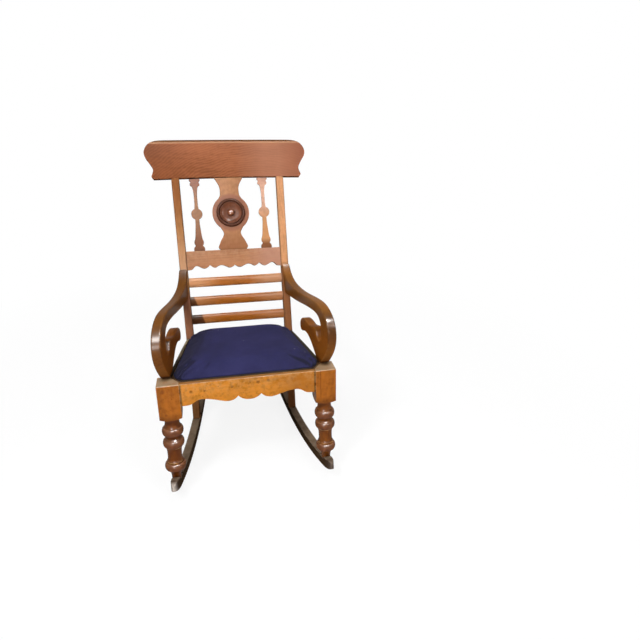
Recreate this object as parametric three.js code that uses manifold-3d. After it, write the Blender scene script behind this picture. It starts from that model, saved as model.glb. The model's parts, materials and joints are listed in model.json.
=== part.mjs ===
import * as THREE from "three";
import { mergeVertices } from "three/addons/utils/BufferGeometryUtils.js";
import Module from "manifold-3d";

const wasm = await Module();
wasm.setup();

// Driving dimensions in millimetres and degrees, in the chair's own upright frame
// x runs across the chair, y from the seat's front to its back, z up from the top of the seat rails

// Fit and finish
const joint_gap = 0.3;
const seam = 0.1;
const seat_clearance = 1.5;
const arris_width = 3;
const overrun = 1;
const rest_lean = 8.3;

// Front legs
const leg_outer_x = 290;
const block_side = 70;
const block_height = 118.6;
const shoulder_height = 15;
const leg_length = 360;
const leg_splay = 5.9;
const ring_radius = 34.7;
const leg_tenon_radius = 10;
const leg_tenon_length = 20;

// Seat rails
const rail_height = 78;
const apron_inset = 2;
const apron_thickness = 30;
const apron_scallop = 18;
const side_rail_outer_front = 272;
const side_rail_outer_rear = 207;
const side_rail_bow = 7;
const side_rail_ledge = 14;
const rear_rail_thickness = 30;
const rail_tenon_length = 25;
const rail_stub_length = 10;
const rail_tenon_thickness = 12;
const rail_tenon_height = 40;
const rebate_depth = 16;

// Back posts
const post_front_y = 395;
const post_rake = 17.5;
const post_width = 29;
const post_depth_seat = 34;
const post_depth_top = 25;
const post_depth_foot = 30;
const post_mid_x_foot = 195.6;
const post_mid_x_seat = 191;
const post_mid_x_top = 198.5;
const post_round = 7;
const post_bend = 8;
const post_tenon_length = 18;
const post_tenon_width = 16;
const post_tenon_depth = 10;

// Crest rail
const crest_foot = 613.5;
const crest_camber = 9.5;
const crest_height = 148;
const crest_half_width = 302;
const crest_thickness = 23;
const crest_bow = 28;
const crest_roll = 19;
const crest_belly = 1;

// Lower back rail
const back_rail_foot = 261.5;
const back_rail_height = 71.5;
const back_rail_thickness = 20;
const back_rail_setback = 5;
const back_scallop = 16.5;
const back_tenon_thickness = 10;

// Slats of the ladder
const slat_height = 36;
const slat_thickness = 13;
const slat_nose = 7;
const slat_bow = 18;
const slat_setback = 7;
const slat_housing = 8;
const slat_feet = [195, 122.5, 52.5];
const slat_names = ["slat_upper", "slat_middle", "slat_lower"];

// Splats
const splat_thickness = 12;
const splat_setback = 15;
const disc_level_share = 0.513;
const disc_radius = 70.5;
const side_splat_x = 129;
const side_splat_thickness = 10;
const side_disc_radius = 21;
const roundel_radius = 53;
const roundel_height = 11;
const roundel_recess = 3;
const roundel_segments = 36;
const button_radius = 14;
const button_height = 13;
const button_stem_radius = 5;

// Scroll arms
const arm_thickness = 30;
const arm_joint_x = 196.5;
const arm_front_x = 264.5;
const arm_nose_y = -20;
const arm_joint_y = 478;
const arm_top_z = 255;

// Rockers
const rocker_radius = 1000;
const rocker_low_y = 200;
const rocker_seat_depth = 6.2;
const rocker_height = 36;
const rocker_width = 30;
const rocker_round = 4;
const rocker_front_y = -32;
const rocker_rear_y = 655;
const rocker_nose = 26;
const rocker_nose_taper = 8;
const rocker_mid_x_front = 258.5;

// Drop-in seat
const seat_front_y = 19;
const seat_corner_y = 57;
const seat_shoulder_y = 392.5;
const seat_rear_y = 416;
const seat_corner_round = 10;
const seat_notch_round = 4;
const seat_frame_thickness = 14;
const seat_frame_width = 42;
const seat_base_thickness = 3;
const seat_base_inset = 8;
const cushion_crown = 50;
const cushion_side = 15;
const cushion_tuck = 5;
const corner_block_height = 40;
const corner_block_depth = 20;
const corner_block_leg = 46;

// Derived levels and lines
const block_mid_x = leg_outer_x - block_side / 2;
const block_mid_y = block_side / 2;
const block_inner_x = leg_outer_x - block_side;
const foot_x = block_mid_x + leg_splay;
const post_inner_x = post_mid_x_seat - post_width / 2;
const rake = THREE.MathUtils.degToRad(post_rake);
const lean = THREE.MathUtils.degToRad(rest_lean);
const rocker_run = rocker_low_y - block_mid_y;
const rocker_rise = Math.sqrt((rocker_radius - rocker_height) ** 2 - rocker_run ** 2);
const rocker_mid_z = rocker_rise - leg_length + rocker_seat_depth;
const arm_reach = arm_joint_y - arm_nose_y;
const arm_slope = (arm_front_x - arm_joint_x) / (arm_joint_y - block_mid_y);
const rear_leg_y = post_front_y + post_depth_foot / 2;
const rocker_slope = (rocker_mid_x_front - post_mid_x_foot) / (rear_leg_y - block_mid_y);
const rear_rail_front = post_front_y + post_depth_seat - rear_rail_thickness;
const tenon_mid_z = -rail_height / 2;
const seat_frame_top = seat_frame_thickness - rebate_depth;
const seat_base_top = seat_frame_top + seat_base_thickness;

// The crest rail's lower edge, cambered, in the leaning back's own frame
function crestFoot(x) {
  return crest_foot - crest_camber * (x / crest_half_width) ** 2;
}

const post_length = crestFoot(post_mid_x_top - post_width / 2);
const splat_foot = back_rail_foot + back_rail_height;
const splat_length = crestFoot(0) - splat_foot;
const disc_level = splat_foot + disc_level_share * splat_length;

// Colours by wood and cloth
const colours = {
  crest: 0x9a5a34,
  honey: 0xa8682f,
  tan: 0xb07845,
  roundel: 0x7a4024,
  slat: 0x94521f,
  arm: 0x6b3a18,
  leg: 0xa05c24,
  rocker: 0x75604c,
  hidden: 0xb59a72,
  webbing: 0xb8a27c,
  cloth: 0x23225e,
};

// A closed surface as a solid, and a solid back as a closed surface
function toSolid(geometry) {
  const bare = geometry.clone();
  bare.deleteAttribute("normal");
  bare.deleteAttribute("uv");
  const welded = mergeVertices(bare, 1e-4);
  return new wasm.Manifold(
    new wasm.Mesh({
      numProp: 3,
      vertProperties: new Float32Array(welded.attributes.position.array),
      triVerts: new Uint32Array(welded.index.array),
    })
  );
}

function toGeometry(solid) {
  const mesh = solid.getMesh();
  const geometry = new THREE.BufferGeometry();
  geometry.setAttribute("position", new THREE.BufferAttribute(new Float32Array(mesh.vertProperties), 3));
  geometry.setIndex(new THREE.BufferAttribute(new Uint32Array(mesh.triVerts), 1));
  geometry.computeVertexNormals();
  return geometry;
}

function cut(geometry, ...tools) {
  let solid = toSolid(geometry);
  for (const tool of tools) {
    solid = solid.subtract(toSolid(tool));
  }
  return toGeometry(solid);
}

function join(geometry, ...others) {
  let solid = toSolid(geometry);
  for (const other of others) {
    solid = solid.add(toSolid(other));
  }
  return toGeometry(solid);
}

function common(geometry, other) {
  return toGeometry(toSolid(geometry).intersect(toSolid(other)));
}

// Signed volume decides whether the faces look outward
function outward(geometry) {
  const indexed = geometry.index ? geometry : mergeVertices(geometry, 1e-4);
  const position = indexed.attributes.position;
  const index = indexed.index.array;
  const [a, b, c] = [new THREE.Vector3(), new THREE.Vector3(), new THREE.Vector3()];
  let volume = 0;
  for (let i = 0; i < index.length; i += 3) {
    a.fromBufferAttribute(position, index[i]);
    b.fromBufferAttribute(position, index[i + 1]);
    c.fromBufferAttribute(position, index[i + 2]);
    volume += a.dot(b.cross(c));
  }
  if (volume < 0) {
    for (let i = 0; i < index.length; i += 3) {
      [index[i], index[i + 1]] = [index[i + 1], index[i]];
    }
  }
  indexed.computeVertexNormals();
  return indexed;
}

function mirrored(geometry) {
  const twin = geometry.clone();
  twin.applyMatrix4(new THREE.Matrix4().makeScale(-1, 1, 1));
  return outward(twin);
}

// A block between two corners
function block(x, y, z) {
  const geometry = new THREE.BoxGeometry(x[1] - x[0], y[1] - y[0], z[1] - z[0]);
  geometry.translate((x[0] + x[1]) / 2, (y[0] + y[1]) / 2, (z[0] + z[1]) / 2);
  return geometry;
}

// Prisms of a flat outline along x, along y and along z
function prism(points, length, bevel, basis) {
  const shape = new THREE.Shape(points.map(([u, v]) => new THREE.Vector2(u, v)));
  const geometry = new THREE.ExtrudeGeometry(shape, {
    depth: length - 2 * bevel,
    steps: 1,
    bevelEnabled: bevel > 0,
    bevelThickness: bevel,
    bevelSize: bevel,
    bevelOffset: -bevel,
    bevelSegments: 2,
  });
  geometry.translate(0, 0, bevel);
  geometry.applyMatrix4(new THREE.Matrix4().makeBasis(...basis));
  const bare = geometry.clone();
  bare.deleteAttribute("normal");
  bare.deleteAttribute("uv");
  return outward(mergeVertices(bare, 1e-4));
}

const ex = new THREE.Vector3(1, 0, 0);
const ey = new THREE.Vector3(0, 1, 0);
const ez = new THREE.Vector3(0, 0, 1);

function prismX(points, x0, x1, bevel = 0) {
  return prism(points, x1 - x0, bevel, [ey, ez, ex]).translate(x0, 0, 0);
}

function prismY(points, y0, y1, bevel = 0) {
  return prism(points, y1 - y0, bevel, [ex, ez, ey.clone().negate()]).translate(0, y1, 0);
}

function prismZ(points, z0, z1, bevel = 0) {
  return prism(points, z1 - z0, bevel, [ex, ey, ez]).translate(0, 0, z0);
}

// A body through a row of closed rings that all have the same number of points
function loft(rings) {
  const count = rings[0].length;
  const positions = rings.flat().flatMap((p) => [p.x, p.y, p.z]);
  const index = [];
  for (let i = 0; i + 1 < rings.length; i++) {
    for (let j = 0; j < count; j++) {
      const k = (j + 1) % count;
      const [a, b, c, d] = [i * count + j, i * count + k, (i + 1) * count + j, (i + 1) * count + k];
      index.push(a, b, d, a, d, c);
    }
  }
  for (const [ring, flip] of [[0, true], [rings.length - 1, false]]) {
    for (let j = 1; j + 1 < count; j++) {
      const [a, b, c] = [ring * count, ring * count + j, ring * count + j + 1];
      index.push(...(flip ? [a, c, b] : [a, b, c]));
    }
  }
  const geometry = new THREE.BufferGeometry();
  geometry.setAttribute("position", new THREE.Float32BufferAttribute(positions, 3));
  geometry.setIndex(index);
  return outward(geometry);
}

// A rectangle with its own rounding at the front and the rear corners
function roundedSection(width, depth, frontRound, rearRound, steps = 3) {
  const corners = [
    [width / 2, depth / 2, rearRound, 0],
    [-width / 2, depth / 2, rearRound, 1],
    [-width / 2, -depth / 2, frontRound, 2],
    [width / 2, -depth / 2, frontRound, 3],
  ];
  const points = [];
  for (const [x, y, round, quarter] of corners) {
    const mid = [x - Math.sign(x) * round, y - Math.sign(y) * round];
    for (let i = 0; i <= steps; i++) {
      const turn = ((quarter + i / steps) * Math.PI) / 2;
      points.push([mid[0] + round * Math.cos(turn), mid[1] + round * Math.sin(turn)]);
    }
  }
  return points;
}

// A turned body about the z axis from pairs of radius and height
function turned(pairs, segments = 24) {
  const profile = pairs.map(([r, z]) => new THREE.Vector2(r, z));
  const geometry = new THREE.LatheGeometry(profile, segments);
  geometry.deleteAttribute("normal");
  geometry.deleteAttribute("uv");
  geometry.rotateX(Math.PI / 2);
  return outward(mergeVertices(geometry, 1e-4));
}

// Points of a half-round bead in a turned profile
function bead(z, radius, halfHeight, inner, steps = 5) {
  const points = [];
  for (let i = 0; i <= steps; i++) {
    const turn = Math.PI * (i / steps - 0.5);
    points.push([inner + (radius - inner) * Math.cos(turn), z + halfHeight * Math.sin(turn)]);
  }
  return points;
}

// A smooth line through control points
function smooth(points, count, closed = false) {
  const curve = new THREE.CatmullRomCurve3(
    points.map(([u, v]) => new THREE.Vector3(u, v, 0)),
    closed,
    "centripetal"
  );
  return curve.getPoints(count).map((p) => [p.x, p.y]);
}

const group = new THREE.Group();

function add(name, geometry, colour) {
  const mesh = new THREE.Mesh(geometry, new THREE.MeshStandardMaterial({ color: colour, roughness: 0.45 }));
  mesh.name = name;
  group.add(mesh);
}

function addPair(name, geometry, colour) {
  add(`${name}_left`, geometry, colour);
  add(`${name}_right`, mirrored(geometry), colour);
}

// The leaning back's own frame: x across, y to the rear, z up along the posts' front faces
const back = new THREE.Matrix4().makeRotationX(-rake).setPosition(0, post_front_y, 0);

function onBack(geometry) {
  return geometry.applyMatrix4(back);
}

// Grown copies of tenons make their mortises
function grown(geometry, margin) {
  geometry.computeBoundingBox();
  const { min, max } = geometry.boundingBox;
  return block(
    [min.x - margin, max.x + margin],
    [min.y - margin, max.y + margin],
    [min.z - margin, max.z + margin]
  );
}

// A tenon block about a middle in y and in z
function tenon(x, midY, thickness, midZ, height) {
  return block(x, [midY - thickness / 2, midY + thickness / 2], [midZ - height / 2, midZ + height / 2]);
}

// A closed outline moved outward by a margin, each edge along its own normal
function offsetOutline(points, margin) {
  const normal = (a, b) => new THREE.Vector2(b[1] - a[1], a[0] - b[0]).normalize();
  return points.map((point, i) => {
    const before = points[(i + points.length - 1) % points.length];
    const after = points[(i + 1) % points.length];
    const [n, m] = [normal(before, point), normal(point, after)];
    const reach = margin / (1 + n.dot(m));
    return [point[0] + (n.x + m.x) * reach, point[1] + (n.y + m.y) * reach];
  });
}

// A closed outline with its corners rounded by a quadratic curve that starts at each one's own distance
function roundedOutline(points, rounds, steps = 4) {
  return points.flatMap((point, i) => {
    const corner = new THREE.Vector2(...point);
    const before = new THREE.Vector2(...points[(i + points.length - 1) % points.length]).sub(corner);
    const after = new THREE.Vector2(...points[(i + 1) % points.length]).sub(corner);
    const from = corner.clone().addScaledVector(before.normalize(), rounds[i]);
    const to = corner.clone().addScaledVector(after.normalize(), rounds[i]);
    return new THREE.QuadraticBezierCurve(from, corner, to).getPoints(steps).map((p) => [p.x, p.y]);
  });
}

// The seat's side runs along the inner faces of the arms
function seatEdgeX(y) {
  return arm_front_x - arm_thickness / 2 - seat_clearance - arm_slope * (y - block_mid_y);
}

// Plan of the drop-in seat, notched at the rear for the posts, grown by a margin
function seatPlan(margin) {
  const tongueX = post_inner_x - seat_clearance;
  const half = [
    [block_inner_x, seat_front_y],
    [seatEdgeX(seat_corner_y), seat_corner_y],
    [seatEdgeX(seat_shoulder_y), seat_shoulder_y],
    [tongueX, seat_shoulder_y],
    [tongueX, seat_rear_y],
  ];
  const halfRounds = half.map(() => seat_corner_round);
  halfRounds[3] = seat_notch_round;
  const whole = [...half, ...half.map(([x, y]) => [-x, y]).reverse()];
  const rounds = [...halfRounds, ...halfRounds.slice().reverse()];
  return roundedOutline(offsetOutline(whole, margin), rounds);
}

const seatPocket = prismZ(seatPlan(seat_clearance), -rebate_depth, rail_height);

// Tenons of the seat rails, which the legs and posts are mortised for
const apronTenon = tenon(
  [block_inner_x - overrun, block_inner_x + rail_tenon_length],
  apron_inset + apron_thickness / 2,
  rail_tenon_thickness,
  tenon_mid_z,
  rail_tenon_height
);

function sideRailInner(y) {
  return seatEdgeX(y) - side_rail_ledge;
}

function sideTenon(y, midX) {
  return block(
    [midX - rail_tenon_thickness / 2, midX + rail_tenon_thickness / 2],
    y,
    [tenon_mid_z - rail_tenon_height / 2, tenon_mid_z + rail_tenon_height / 2]
  );
}

const sideTenonFront = sideTenon(
  [block_side - rail_tenon_length, block_side + overrun],
  (side_rail_outer_front + sideRailInner(block_side)) / 2
);
const sideTenonRear = sideTenon(
  [post_front_y - overrun, post_front_y + rail_stub_length],
  (side_rail_outer_rear + sideRailInner(post_front_y)) / 2
);
const rearRailTenon = tenon(
  [post_inner_x - overrun, post_inner_x + post_width / 2],
  rear_rail_front + rear_rail_thickness / 2,
  rail_tenon_thickness,
  tenon_mid_z,
  rail_tenon_height
);

// Front legs: square block, tongue shoulder and turned stem in one piece
function legStem() {
  const length = leg_length - block_height;
  const place = ([radiusShare, levelShare]) => [
    radiusShare * ring_radius,
    -block_height - levelShare * length,
  ];
  const ring = (levelShare, halfShare, innerShare) =>
    bead(place([0, levelShare])[1], ring_radius, halfShare * length, innerShare * ring_radius);
  const footShares = [
    [0.44, 1],
    [0.46, 0.95],
    [0.55, 0.892],
    [0.7, 0.859],
  ];
  const waistShares = [
    [0.78, 0.71],
    [0.683, 0.677],
    [0.67, 0.606],
    [0.7, 0.536],
    [0.8, 0.49],
  ];
  const filletShares = [
    [0.66, 0.35],
    [0.64, 0.329],
    [0.66, 0.31],
  ];
  const collarShares = [
    [0.74, 0.163],
    [0.68, 0.122],
    [0.68, 0],
    [0, 0],
  ];
  const stem = turned([
    [0, -leg_length - leg_tenon_length],
    [leg_tenon_radius, -leg_length - leg_tenon_length],
    [leg_tenon_radius, -leg_length],
    ...footShares.map(place),
    ...ring(0.791, 0.058, 0.76),
    ...waistShares.map(place),
    ...ring(0.424, 0.056, 0.8),
    ...filletShares.map(place),
    ...ring(0.24, 0.058, 0.8),
    ...collarShares.map(place),
  ]);
  const splayed = stem.attributes.position;
  for (let i = 0; i < splayed.count; i++) {
    const share = Math.min(1, (-block_height - splayed.getZ(i)) / length);
    splayed.setX(i, splayed.getX(i) + leg_splay * share);
  }
  return stem;
}

function frontLeg() {
  const low = -block_height - shoulder_height;
  const half = block_side / 2;
  const square = block([-half, half], [-half, half], [low, 0]);
  const bellShares = [
    [0.51, 1],
    [0.56, 0.62],
    [0.68, 0.45],
    [0.82, 0.3],
    [0.93, 0.12],
    [1.02, 0],
  ];
  const corner = half * Math.SQRT2;
  const bell = turned([
    [0, low],
    ...bellShares.map(([radiusShare, drop]) => [
      corner * radiusShare,
      -block_height - shoulder_height * drop,
    ]),
    [corner * bellShares[bellShares.length - 1][0], overrun],
    [0, overrun],
  ]);
  const leg = join(common(square, bell), legStem()).translate(block_mid_x, block_mid_y, 0);
  return cut(leg, grown(apronTenon, joint_gap), grown(sideTenonFront, joint_gap), seatPocket);
}

addPair("front_leg", frontLeg(), colours.leg);

// A wavy lower edge: its right half runs smoothly through knots of half-width and rise shares in each span,
// and comes to a point where two spans meet
function scallopedEdge(halfWidth, low, depth, spanShares, perKnot) {
  const right = spanShares.flatMap((knotShares, i) => {
    const knots = knotShares.map(([x, rise]) => [x * halfWidth, low + rise * depth]);
    return smooth(knots, perKnot * (knots.length - 1)).slice(i > 0 ? 1 : 0);
  });
  const left = right.map(([x, z]) => [-x, z]).reverse();
  return [...left.slice(0, -1), ...right];
}

// Front apron with its serpentine edge, tenoned into the leg blocks
function frontApron() {
  const spanShares = [
    [
      [0, 0],
      [0.05, 0.04],
      [0.085, 0.18],
      [0.13, 0.45],
      [0.172, 0.92],
    ],
    [
      [0.172, 0.92],
      [0.2, 0.55],
      [0.245, 0.2],
      [0.315, 0.05],
      [0.37, 0.13],
      [0.44, 0.36],
      [0.52, 0.65],
      [0.6, 0.87],
      [0.68, 1],
      [0.735, 0.95],
      [0.78, 0.74],
      [0.82, 0.4],
      [0.855, 0.15],
      [0.91, 0.03],
      [1, 0],
    ],
  ];
  const half = block_inner_x - seam;
  const edge = scallopedEdge(half, -rail_height, apron_scallop, spanShares, 3);
  const board = prismY([...edge, [half, 0], [-half, 0]], apron_inset, apron_inset + apron_thickness);
  return cut(join(board, apronTenon, mirrored(apronTenon)), seatPocket);
}

add("front_apron", frontApron(), colours.leg);

// Side rails: bowed outside, straight inside with a ledge for the seat
function sideRail() {
  const [front, rear] = [block_side + seam, post_front_y - seam];
  const outline = [];
  const steps = 8;
  for (let i = 0; i <= steps; i++) {
    const t = i / steps;
    const straight = side_rail_outer_front + (side_rail_outer_rear - side_rail_outer_front) * t;
    outline.push([straight + side_rail_bow * 4 * t * (1 - t), front + (rear - front) * t]);
  }
  outline.push([sideRailInner(rear), rear], [sideRailInner(front), front]);
  return cut(join(prismZ(outline, -rail_height, 0), sideTenonFront, sideTenonRear), seatPocket);
}

addPair("side_rail", sideRail(), colours.honey);

// Rear rail between the posts
function rearRail() {
  const board = block(
    [-post_inner_x + seam, post_inner_x - seam],
    [rear_rail_front, rear_rail_front + rear_rail_thickness],
    [-rail_height, 0]
  );
  return cut(join(board, rearRailTenon, mirrored(rearRailTenon)), seatPocket);
}

add("rear_rail", rearRail(), colours.honey);

// Lower back rail with its scalloped edge, tenoned into the posts
function postInnerAt(level) {
  const share = level / post_length;
  return post_mid_x_seat + (post_mid_x_top - post_mid_x_seat) * share - post_width / 2;
}

const backRailTenon = tenon(
  [postInnerAt(back_rail_foot) - overrun, postInnerAt(splat_foot) + post_width / 2],
  back_rail_setback + back_rail_thickness / 2,
  back_tenon_thickness,
  back_rail_foot + (back_rail_height + back_scallop) / 2,
  back_rail_height - 2 * back_scallop
);

function backRail() {
  const spanShares = [
    [
      [0, 0.76],
      [0.045, 0.36],
      [0.107, 0.14],
      [0.16, 0.3],
      [0.22, 0.64],
      [0.287, 0.84],
      [0.35, 0.68],
      [0.39, 0.4],
      [0.43, 0.29],
      [0.48, 0.52],
      [0.53, 1],
    ],
    [
      [0.53, 1],
      [0.575, 0.5],
      [0.648, 0.19],
      [0.715, 0.45],
      [0.765, 0.75],
      [0.812, 0.91],
      [0.85, 0.75],
      [0.885, 0.36],
      [0.92, 0.07],
      [1, 0],
    ],
  ];
  const halfLow = postInnerAt(back_rail_foot) - seam;
  const halfTop = postInnerAt(splat_foot) - seam;
  const edge = scallopedEdge(halfLow, back_rail_foot, back_scallop, spanShares, 3);
  const outline = [...edge, [halfTop, splat_foot], [-halfTop, splat_foot]];
  const board = prismY(outline, back_rail_setback, back_rail_setback + back_rail_thickness);
  return onBack(join(board, backRailTenon, mirrored(backRailTenon)));
}

add("back_rail", backRail(), colours.tan);

// Slats with a rounded front, bowed to the rear, housed in the posts
function slat(foot) {
  const halfWidth = postInnerAt(foot) + slat_housing;
  const rings = [];
  const stations = 16;
  for (let i = 0; i <= stations; i++) {
    const x = -halfWidth + (2 * halfWidth * i) / stations;
    const front = slat_setback + slat_bow * (1 - (x / halfWidth) ** 2);
    const ring = [];
    const steps = 8;
    for (let j = 0; j <= steps; j++) {
      const t = j / steps;
      const swell = Math.sqrt(Math.max(0, 1 - (2 * t - 1) ** 2));
      ring.push(new THREE.Vector3(x, front + slat_nose * (1 - swell), foot + slat_height * t));
    }
    ring.push(new THREE.Vector3(x, front + slat_thickness, foot + slat_height));
    ring.push(new THREE.Vector3(x, front + slat_thickness, foot));
    rings.push(ring);
  }
  return loft(rings);
}

function slatMortise(foot) {
  const inner = postInnerAt(foot);
  const reach = inner + slat_housing;
  const mouthBow = slat_bow * (1 - ((inner - overrun) / reach) ** 2);
  return block(
    [inner - 2 * overrun, reach + joint_gap],
    [slat_setback - joint_gap, slat_setback + slat_thickness + mouthBow + joint_gap],
    [foot - joint_gap, foot + slat_height + joint_gap]
  );
}

slat_feet.forEach((foot, i) => add(slat_names[i], onBack(slat(foot)), colours.slat));

// Rockers: sawn arcs that close in towards the rear, mortised for the legs
function rockerZ(y, lift = 0) {
  return rocker_mid_z - Math.sqrt((rocker_radius - lift) ** 2 - (y - rocker_low_y) ** 2);
}

function rockerX(y) {
  return rocker_mid_x_front - rocker_slope * (y - block_mid_y);
}

const rear_leg_foot = rockerZ(post_front_y, rocker_height);
const rearLegTenon = tenon(
  [post_mid_x_foot - post_tenon_depth / 2, post_mid_x_foot + post_tenon_depth / 2],
  rear_leg_y,
  post_tenon_width,
  rear_leg_foot - leg_tenon_length / 2,
  leg_tenon_length + 2 * overrun
);

function rocker() {
  const angle = (y) => Math.asin((y - rocker_low_y) / rocker_radius);
  const [from, to] = [angle(rocker_front_y), angle(rocker_rear_y)];
  const noseTurn = rocker_nose / rocker_radius;
  const noseSteps = 6;
  const bodySteps = 26;
  const turns = [];
  for (let i = 0; i <= noseSteps; i++) {
    turns.push(from + noseTurn * (i / noseSteps) ** 2);
  }
  for (let i = 1; i < bodySteps; i++) {
    turns.push(from + noseTurn + ((to - from - 2 * noseTurn) * i) / bodySteps);
  }
  for (let i = noseSteps; i >= 0; i--) {
    turns.push(to - noseTurn * (i / noseSteps) ** 2);
  }
  const bluntShare = 0.14;
  const rings = turns.map((turn) => {
    const inNose = Math.min(1, Math.min(turn - from, to - turn) / noseTurn);
    const share = Math.max(bluntShare, Math.sqrt(1 - (1 - inNose) ** 2));
    const width = rocker_width - rocker_nose_taper * (1 - share);
    const height = rocker_height * share;
    const middle = rocker_radius - rocker_height / 2 - (rocker_height - height) / 2;
    return roundedSection(width, height, rocker_round * share, rocker_round * share, 2).map(([u, v]) => {
      const y = rocker_low_y + (middle + v) * Math.sin(turn);
      const z = rocker_mid_z - (middle + v) * Math.cos(turn);
      const inward = turn < 0 ? (rocker_width - width) / 2 : 0;
      return new THREE.Vector3(rockerX(y) - inward + u, y, z);
    });
  });
  const footSeat = block(
    [foot_x - ring_radius, foot_x + ring_radius],
    [block_mid_y - ring_radius / 2, block_mid_y + ring_radius / 2],
    [-leg_length - seam, -leg_length + rocker_height]
  );
  const mortiseRadius = leg_tenon_radius + joint_gap;
  const mortiseLength = leg_tenon_length + rocker_height;
  const footMortise = new THREE.CylinderGeometry(mortiseRadius, mortiseRadius, mortiseLength, 28);
  footMortise.rotateX(Math.PI / 2);
  footMortise.translate(foot_x, block_mid_y, -leg_length - leg_tenon_length - joint_gap + mortiseLength / 2);
  const rearSeat = block(
    [post_mid_x_foot - post_width, post_mid_x_foot + post_width],
    [post_front_y - arris_width, post_front_y + post_depth_foot + arris_width],
    [rear_leg_foot - seam, rear_leg_foot + 2 * rocker_height]
  );
  return cut(loft(rings), footSeat, footMortise, grown(rearLegTenon, joint_gap), rearSeat);
}

addPair("rocker", rocker(), colours.rocker);

// Back posts with the rear legs in one piece, rounded in front
const postTenon = tenon(
  [post_mid_x_top - post_tenon_width / 2, post_mid_x_top + post_tenon_width / 2],
  post_depth_top / 2,
  post_tenon_depth,
  post_length + post_tenon_length / 2 - overrun / 2,
  post_tenon_length + overrun
);

function backPost() {
  const rings = [];
  const between = (from, to, t) => from + (to - from) * t;
  const place = (z, mid_x, front_y, depth, turn) => {
    const section = roundedSection(post_width, depth, post_round, arris_width);
    const matrix = new THREE.Matrix4().makeRotationX(-turn).setPosition(mid_x, front_y, z);
    rings.push(section.map(([u, v]) => new THREE.Vector3(u, v + depth / 2, 0).applyMatrix4(matrix)));
  };
  const footSteps = 3;
  for (let i = 0; i <= footSteps; i++) {
    const t = i / footSteps;
    const mid_x = between(post_mid_x_foot, post_mid_x_seat, t);
    const depth = between(post_depth_foot, post_depth_seat, t);
    place(between(rear_leg_foot, tenon_mid_z, t), mid_x, post_front_y, depth, 0);
  }
  const bendSteps = 4;
  for (let i = 0; i <= bendSteps; i++) {
    const t = i / bendSteps;
    const z = between(-post_bend, post_bend, t);
    const front = post_front_y + Math.max(0, z) * Math.tan(rake);
    place(z, post_mid_x_seat, front, post_depth_seat, rake * t);
  }
  const riseSteps = 6;
  for (let i = 1; i <= riseSteps; i++) {
    const t = i / riseSteps;
    const level = post_length * t;
    const front = post_front_y + level * Math.sin(rake);
    const depth = between(post_depth_seat, post_depth_top, t);
    place(level * Math.cos(rake), between(post_mid_x_seat, post_mid_x_top, t), front, depth, rake);
  }
  const body = join(loft(rings), onBack(postTenon.clone()), rearLegTenon);
  return cut(
    body,
    grown(rearRailTenon, joint_gap),
    grown(sideTenonRear, joint_gap),
    onBack(grown(backRailTenon, joint_gap)),
    ...slat_feet.map((foot) => onBack(slatMortise(foot)))
  );
}

addPair("back_post", backPost(), colours.honey);

// Crest rail: a bowed and cambered tablet with a rolled top and shaped ends
function crestOffset(x) {
  const bow = (share) => crest_bow * (1 - share ** 2);
  const atPost = (post_depth_top - crest_thickness) / 2;
  return atPost + bow(x / crest_half_width) - bow(post_mid_x_top / crest_half_width);
}

function crestSection() {
  const points = [
    [crest_thickness, 0],
    [crest_thickness, crest_height - arris_width],
  ];
  const rollSteps = 8;
  for (let i = 0; i <= rollSteps; i++) {
    const turn = (Math.PI / 2) * (i / rollSteps);
    points.push([
      (crest_thickness - arris_width) * (1 - Math.sin(turn)),
      crest_height - crest_roll * (1 - Math.cos(turn)),
    ]);
  }
  const bellyShare = 0.45;
  points.push([-crest_belly, bellyShare * crest_height]);
  points.push([0, 0]);
  return points;
}

function crestRail() {
  const section = crestSection();
  const rings = [];
  const stations = 32;
  const reach = crest_half_width + overrun;
  for (let i = 0; i <= stations; i++) {
    const x = -reach + (2 * reach * i) / stations;
    rings.push(section.map(([y, z]) => new THREE.Vector3(x, y + crestOffset(x), z + crestFoot(x))));
  }
  const outlineShares = [
    [0.905, -0.03],
    [0.917, 0.02],
    [0.932, 0.066],
    [0.92, 0.135],
    [0.909, 0.205],
    [0.912, 0.272],
    [0.934, 0.364],
    [0.96, 0.455],
    [0.988, 0.549],
    [1, 0.662],
    [0.99, 0.75],
    [0.965, 0.84],
    [0.92, 0.92],
    [0.85, 0.972],
    [0.76, 0.995],
  ];
  const place = ([x, z]) => [x * crest_half_width, crestFoot(x * crest_half_width) + z * crest_height];
  const half = smooth(outlineShares.map(place), 42);
  const left = half.map(([x, z]) => [-x, z]).reverse();
  const outline = [...half, [0, crestFoot(0) + crest_height + overrun], ...left];
  const blank = prismY(outline, -crest_height, crest_height);
  const tenonRoom = grown(postTenon, joint_gap);
  const postSeat = block(
    [post_mid_x_top - post_width / 2, post_mid_x_top + post_width / 2],
    [-crest_height, crest_height],
    [post_length - crest_height, post_length + seam]
  );
  const bowed = common(loft(rings), blank);
  return onBack(cut(bowed, tenonRoom, mirrored(tenonRoom), postSeat, mirrored(postSeat)));
}

add("crest_rail", crestRail(), colours.crest);

// Splats stand on the lower back rail and end under the crest rail
function splatOutline(rows, reach) {
  const [low, high] = [splat_foot + seam, crestFoot(reach) - seam];
  const right = rows.map(([x, levelShare]) => [x, low + levelShare * (high - low)]);
  return [...right, ...right.map(([x, z]) => [-x, z]).reverse()];
}

function discRows(radius, neck, levelShare, steps) {
  const rows = [];
  const start = Math.asin(neck / radius);
  for (let i = 0; i <= steps; i++) {
    const turn = start + ((Math.PI - 2 * start) * i) / steps;
    rows.push([radius * Math.sin(turn), levelShare - (radius * Math.cos(turn)) / splat_length]);
  }
  return rows;
}

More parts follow.
